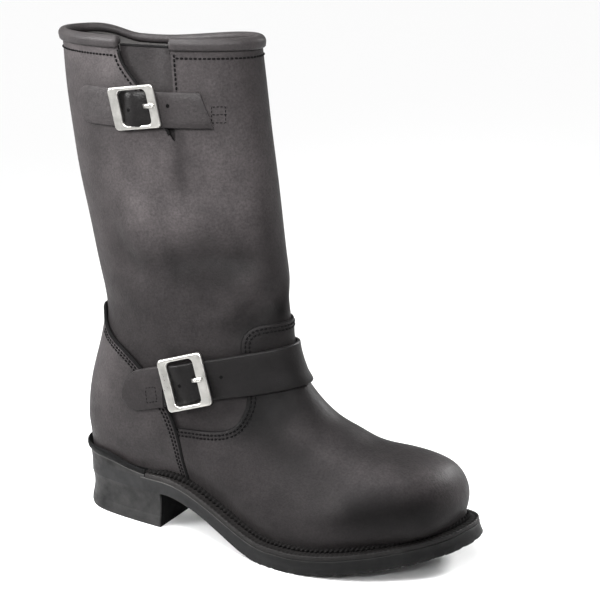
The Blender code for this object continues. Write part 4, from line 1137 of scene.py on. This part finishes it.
# heel: how far the wall stands out by share of the height, and rings as height and extra
heelSizes = {"profile": [(0.0, 0.0), (0.05, 0.5), (0.28, 0.1), (0.62, -1.2), (0.88, -0.75), (1.0, 0.0)],
             "rings": [(0.0, -0.9), (0.25, -0.25), (0.9, 0.0), (2.5, 0.0), (5.5, 0.0), (7.9, 0.0), (8.35, -0.2),
                       (8.85, -0.2), (9.3, 0.0), (11.0, 0.0), (14.0, 0.0), (17.5, 0.0), (21.0, 0.0), (24.0, 0.0), (26.0, 0.0)],
             "sideSteps": 260, "breastSteps": 40, "step": 0.7, "across": 100, "ribPitch": 3.4, "ribWidth": 1.7,
             "ribDepth": 1.2, "wave": 1.5, "waveRun": 9.0, "panelFront": 4.0, "panelMargin": 6.0}


def roundBack(loop, limit):
    behind = np.flatnonzero(loop[:, 0] < limit)
    return np.roll(behind, -1 - int(np.argmax(np.diff(behind) > 1)))


def heelPlan(out):
    loop, (lateral, medial, _, _) = outlineLoop(-out, 700), outlineSides(-out)
    breast, steps = bootSizes["heelBreast"], heelSizes["breastSteps"]
    rear = loop[roundBack(loop, breast - 0.4)]
    curve = np.concatenate([[(breast, medial(breast))], rear, [(breast, lateral(breast))]])
    along = runLength(curve)
    side = pickAlong(curve, along, np.linspace(0, along[-1], heelSizes["sideSteps"]))
    front = np.column_stack([np.full(steps, breast), np.linspace(lateral(breast), medial(breast), steps + 2)[1:-1]])
    return np.concatenate([side, front])


def makeHeel():
    s, tall = heelSizes, bootSizes["heelHeight"]
    shares, outs = np.array(s["profile"]).T
    rings = []
    for z, extra in s["rings"]:
        plan = heelPlan(float(spline(shares, outs, min(max(z / tall, 0.04), 1.0))[0, 0]) + extra)
        rings.append(np.column_stack([plan, np.full(len(plan), z)]))
    lateral, medial, rear, _ = outlineSides(0.4)

    def rise(x, y, low, high):
        wave = (x + s["wave"] * np.sin(y * 2 * math.pi / s["waveRun"])) / s["ribPitch"]
        rib = groove((np.abs(wave % 1 - 0.5) - 0.5) * s["ribPitch"], s["ribWidth"], s["ribDepth"])
        margin = np.minimum(np.minimum(y - low, high - y), (x - rear) * 0.9)
        panel = ease((margin - s["panelMargin"]) / 0.8) * ease((s["panelFront"] - x) / 0.8)
        edge = groove(x - s["panelFront"] - 1.2, 1.4, 0.8) * ease((margin - 2) / 1)
        return np.maximum(rib * panel, edge)

    wide = len(rings[0])
    walls = ringFaces(len(rings), wide, caps=False)
    xs = np.arange(rear + 0.8, bootSizes["heelBreast"] - 0.6, s["step"])
    points, faces = addBottom(np.concatenate(rings), walls, xs, s["across"], lambda x: (lateral(x), medial(x)), rise)
    faceLooks = np.zeros(len(faces), int)
    faceLooks[:len(walls)] = np.tile(np.arange(wide) >= s["sideSteps"], len(rings) - 1)  # the breast, drawn near-black as painted shade
    finishPiece(makePiece("heelRubber", points, faces, 40), [rubber, breastShadeRubber], ["heel"], faceLooks)


makeHeel()

# rand across: inset from the sole's edge, how far the lip leans out, rise, share of the lip's height
randSizes = {"stations": 500, "swell": (0.4, 2.2),
             "within": [(3.6, 0.0, 0.0), (3.6, 3.5, 0.0), (-3.2, 5.2, 0.35)],
             "section": [(0.9, 2.1, 5.3, 0.95), (0.45, 2.6, 5.5, 1.02), (0.1, 3.0, 5.1, 0.96), (0.0, 3.1, 4.2, 0.82),
                         (0.1, 2.6, 2.9, 0.66), (0.4, 1.4, 1.9, 0.56), (0.5, 0.9, 1.5, 0.50), (0.15, 0.75, 1.2, 0.42),
                         (0.05, 0.35, 0.7, 0.2), (0.0, 0.0, 0.0, 0.0)]}


def makeRand():
    s, tall = randSizes, bootSizes["randLip"]
    order = roundBack(outlineLoop(0.0, s["stations"]), bootSizes["randEnd"] + 0.4)
    rows = [(lambda x, inset=inset: weltReach(x) + inset, rise, share, rise > 0) for inset, rise, share in s["within"]]
    rows += [(lambda x, inset=inset, lean=lean: inset - lean * randLip(x) / tall, rise, share, rise > 0.9)
             for inset, lean, rise, share in s["section"]]
    columns = []
    for inset, rise, share, swells in rows:
        loop = outlineLoop(inset, s["stations"])[order]
        lip = randLip(loop[:, 0])
        swell = swells * (s["swell"][0] + s["swell"][1] * (lip / tall))
        columns.append(np.column_stack([loop, soleTop(loop[:, 0]) + rise + share * lip + swell]))
    rings = np.stack(columns, axis=1)
    piece = loftPiece("heelRandRubber", rings, sharp=40)
    row = np.arange(len(rows)) - len(s["within"])
    faceLooks = np.zeros(len(piece.data.polygons), int)
    # the lip is drawn in the darker rand rubber, painted shade; the row under it in the pale edge rubber
    faceLooks[:(len(rings) - 1) * len(rows)] = np.tile(np.select([row < 6, row == 6], [2, 1], 0), len(rings) - 1)
    finishPiece(piece, [rubber, edgeRubber, shadedRandRubber], ["heel_rand"], faceLooks)


makeRand()

# welt across: inset, rise over the sole, share of the ribs' depth
weltSizes = {"edge": 0.5, "ribPitch": 3.3, "ribDepth": 0.5, "stations": 1500,
             "section": [(0.0, 0.3, 0), (0.0, 2.2, 0), (0.15, 2.9, 0.3), (0.6, 3.35, 0.7), (1.3, 3.5, 1), (2.3, 3.45, 1),
                         (2.9, 3.2, 0.4), (3.3, 3.0, 0), (4.4, 3.25, 0.3), (5.2, 3.5, 0.8)]}


def makeWelt():
    s, count = weltSizes, weltSizes["stations"]
    middle, outer = outlineLoop(0.0, count), outlineLoop(s["edge"], count)
    inner = outlineLoop(lambda x: weltReach(x) + bootSizes["lasting"], count)
    along = runLength(middle)
    rings = []
    for k in np.flatnonzero(middle[:, 0] > bootSizes["randEnd"] - 0.4):
        width = np.linalg.norm(inner[k] - outer[k])
        rib = s["ribDepth"] * (0.5 + 0.5 * math.cos(2 * math.pi * along[k] / s["ribPitch"]))
        ring = []
        for inset, rise, ribbed in [*s["section"], (min(7.5, width - 2), 3.5, 0.6), (width, 3.5, 0), (width, 0.3, 0)]:
            share = min(inset / width, 1.0)
            x, y = outer[k] * (1 - share) + inner[k] * share
            ring.append((x, y, soleTop(x) + rise - rib * ribbed))
        rings.append(ring)
    return loftPiece("weltStrip", rings, sharp=50)


finishPiece(makeWelt(), [weltLook], ["welt"])

braidSizes = {"radius": (2.6, 1.7), "from": 60.0, "run": 110.0, "out": 2.1, "startOut": 2.6, "startRun": 42.0,
              "twist": 6.8, "lobe": 0.28, "sides": 16, "stations": 1700}


def makeBraid():
    s, start = braidSizes, bootSizes["randEnd"]

    def inset(x):
        return weltReach(x) - s["out"] - s["startOut"] * (1 - ease((x - start) / s["startRun"]))

    line = outlineLoop(inset, s["stations"])
    line = line[line[:, 0] > start + 0.5]
    ahead = np.gradient(line, axis=0)
    ahead /= np.linalg.norm(ahead, axis=1)[:, None]
    turns = np.linspace(0, 2 * math.pi, s["sides"], endpoint=False)
    rings = []
    for (x, y), (tx, ty), at in zip(line, ahead, runLength(line)):
        radius = s["radius"][0] + (s["radius"][1] - s["radius"][0]) * ease((x - s["from"]) / s["run"])
        radius *= 0.5 + 0.5 * ease((x - start) / 26)
        centre = np.array([x, y, weltTop(x) + 0.5 * radius])
        twist = 2 * math.pi * at / s["twist"]
        ring = []
        for v in turns:
            reach = radius * (1 + s["lobe"] * math.cos(2 * v - twist * 2))
            ring.append(centre + reach * np.array([ty * math.cos(v), -tx * math.cos(v), math.sin(v)]))
        rings.append(ring)
    return loftPiece("weltBraid", rings)


finishPiece(makeBraid(), [weltThread])

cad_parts["insole"].material_slots[0].material = board
print("sole made")

# stage, light and camera
stageSizes = {"floor": 6.0, "floorColour": (0.93, 0.93, 0.93), "backdrop": 1.0, "fill": 0.4}


def makeStage():
    half = stageSizes["floor"]
    mesh = bpy.data.meshes.new("floor")
    mesh.from_pydata([(-half, -half, 0), (half, -half, 0), (half, half, 0), (-half, half, 0)], [], [(0, 1, 2, 3)])
    mesh.materials.append(newLook("paleFloor", stageSizes["floorColour"], 0.7)[0])
    floor = addObject("floor", mesh)
    world = bpy.data.worlds.new("studio")
    world.use_nodes = True
    nodes, links = world.node_tree.nodes, world.node_tree.links
    backdrop, fill = nodes.new("ShaderNodeBackground"), nodes["Background"]  # what is seen, what lights
    for node, strength in ((backdrop, stageSizes["backdrop"]), (fill, stageSizes["fill"])):
        node.inputs["Color"].default_value = (1, 1, 1, 1)
        node.inputs["Strength"].default_value = strength
    mix = nodes.new("ShaderNodeMixShader")
    links.new(nodes.new("ShaderNodeLightPath").outputs["Is Camera Ray"], mix.inputs["Fac"])
    links.new(fill.outputs["Background"], mix.inputs[1])
    links.new(backdrop.outputs["Background"], mix.inputs[2])
    links.new(mix.outputs["Shader"], nodes["World Output"].inputs["Surface"])
    bpy.context.scene.world = world


studioLights = [
    # name, place, aimed at, size, spread in degrees, power
    ("sideLight", (-0.66, -0.62, 0.62), (-0.01, -0.02, 0.31), 0.5, 46.0, 2.15),
    ("shaftLight", (0.28, -0.95, 0.80), (0.07, -0.03, 0.30), 0.4, 26.0, 0.62),
    ("highLight", (-0.05, -0.25, 0.95), (0.10, -0.02, 0.15), 0.4, 100.0, 2.0),
    ("backLight", (0.66, 0.95, 0.55), (0.25, 0.01, 0.05), 0.5, 20.0, 1.0),
    ("rightLight", (0.85, -0.60, 0.85), (0.08, 0.00, 0.27), 0.4, 24.0, 0.45),
]
skyLight = {"aim": (0.42, 0.22, -1.0), "angle": 75.0, "strength": 2.4}


def aimAt(thing, place, aim):
    thing.location = place
    thing.rotation_euler = (Vector(aim) - Vector(place)).to_track_quat("-Z", "Y").to_euler()


def makeLights():
    for name, place, aim, size, spread, power in studioLights:
        light = bpy.data.lights.new(name, "AREA")
        light.shape = "DISK"
        light.size, light.energy, light.spread = size, power, math.radians(spread)
        lamp = addObject(name, light)
        lamp.visible_camera = False
        aimAt(lamp, place, aim)
    light = bpy.data.lights.new("skyLight", "SUN")
    light.angle, light.energy = math.radians(skyLight["angle"]), skyLight["strength"]
    aimAt(addObject("skyLight", light), (0, 0, 0), skyLight["aim"])


cameraSizes = {"place": (0.60174, -0.89444, 0.45589), "aim": (0.11993, 0.03197, 0.16138), "lens": 92.396, "sensor": 36.0}


def makeCamera():
    camera = bpy.data.cameras.new("photoCamera")
    camera.sensor_width, camera.lens = cameraSizes["sensor"], cameraSizes["lens"]
    eye = addObject("photoCamera", camera)
    aimAt(eye, cameraSizes["place"], cameraSizes["aim"])
    bpy.context.scene.camera = eye


makeStage()
makeLights()
makeCamera()
bpy.context.scene.view_settings.view_transform = "Standard"
print("stage made")
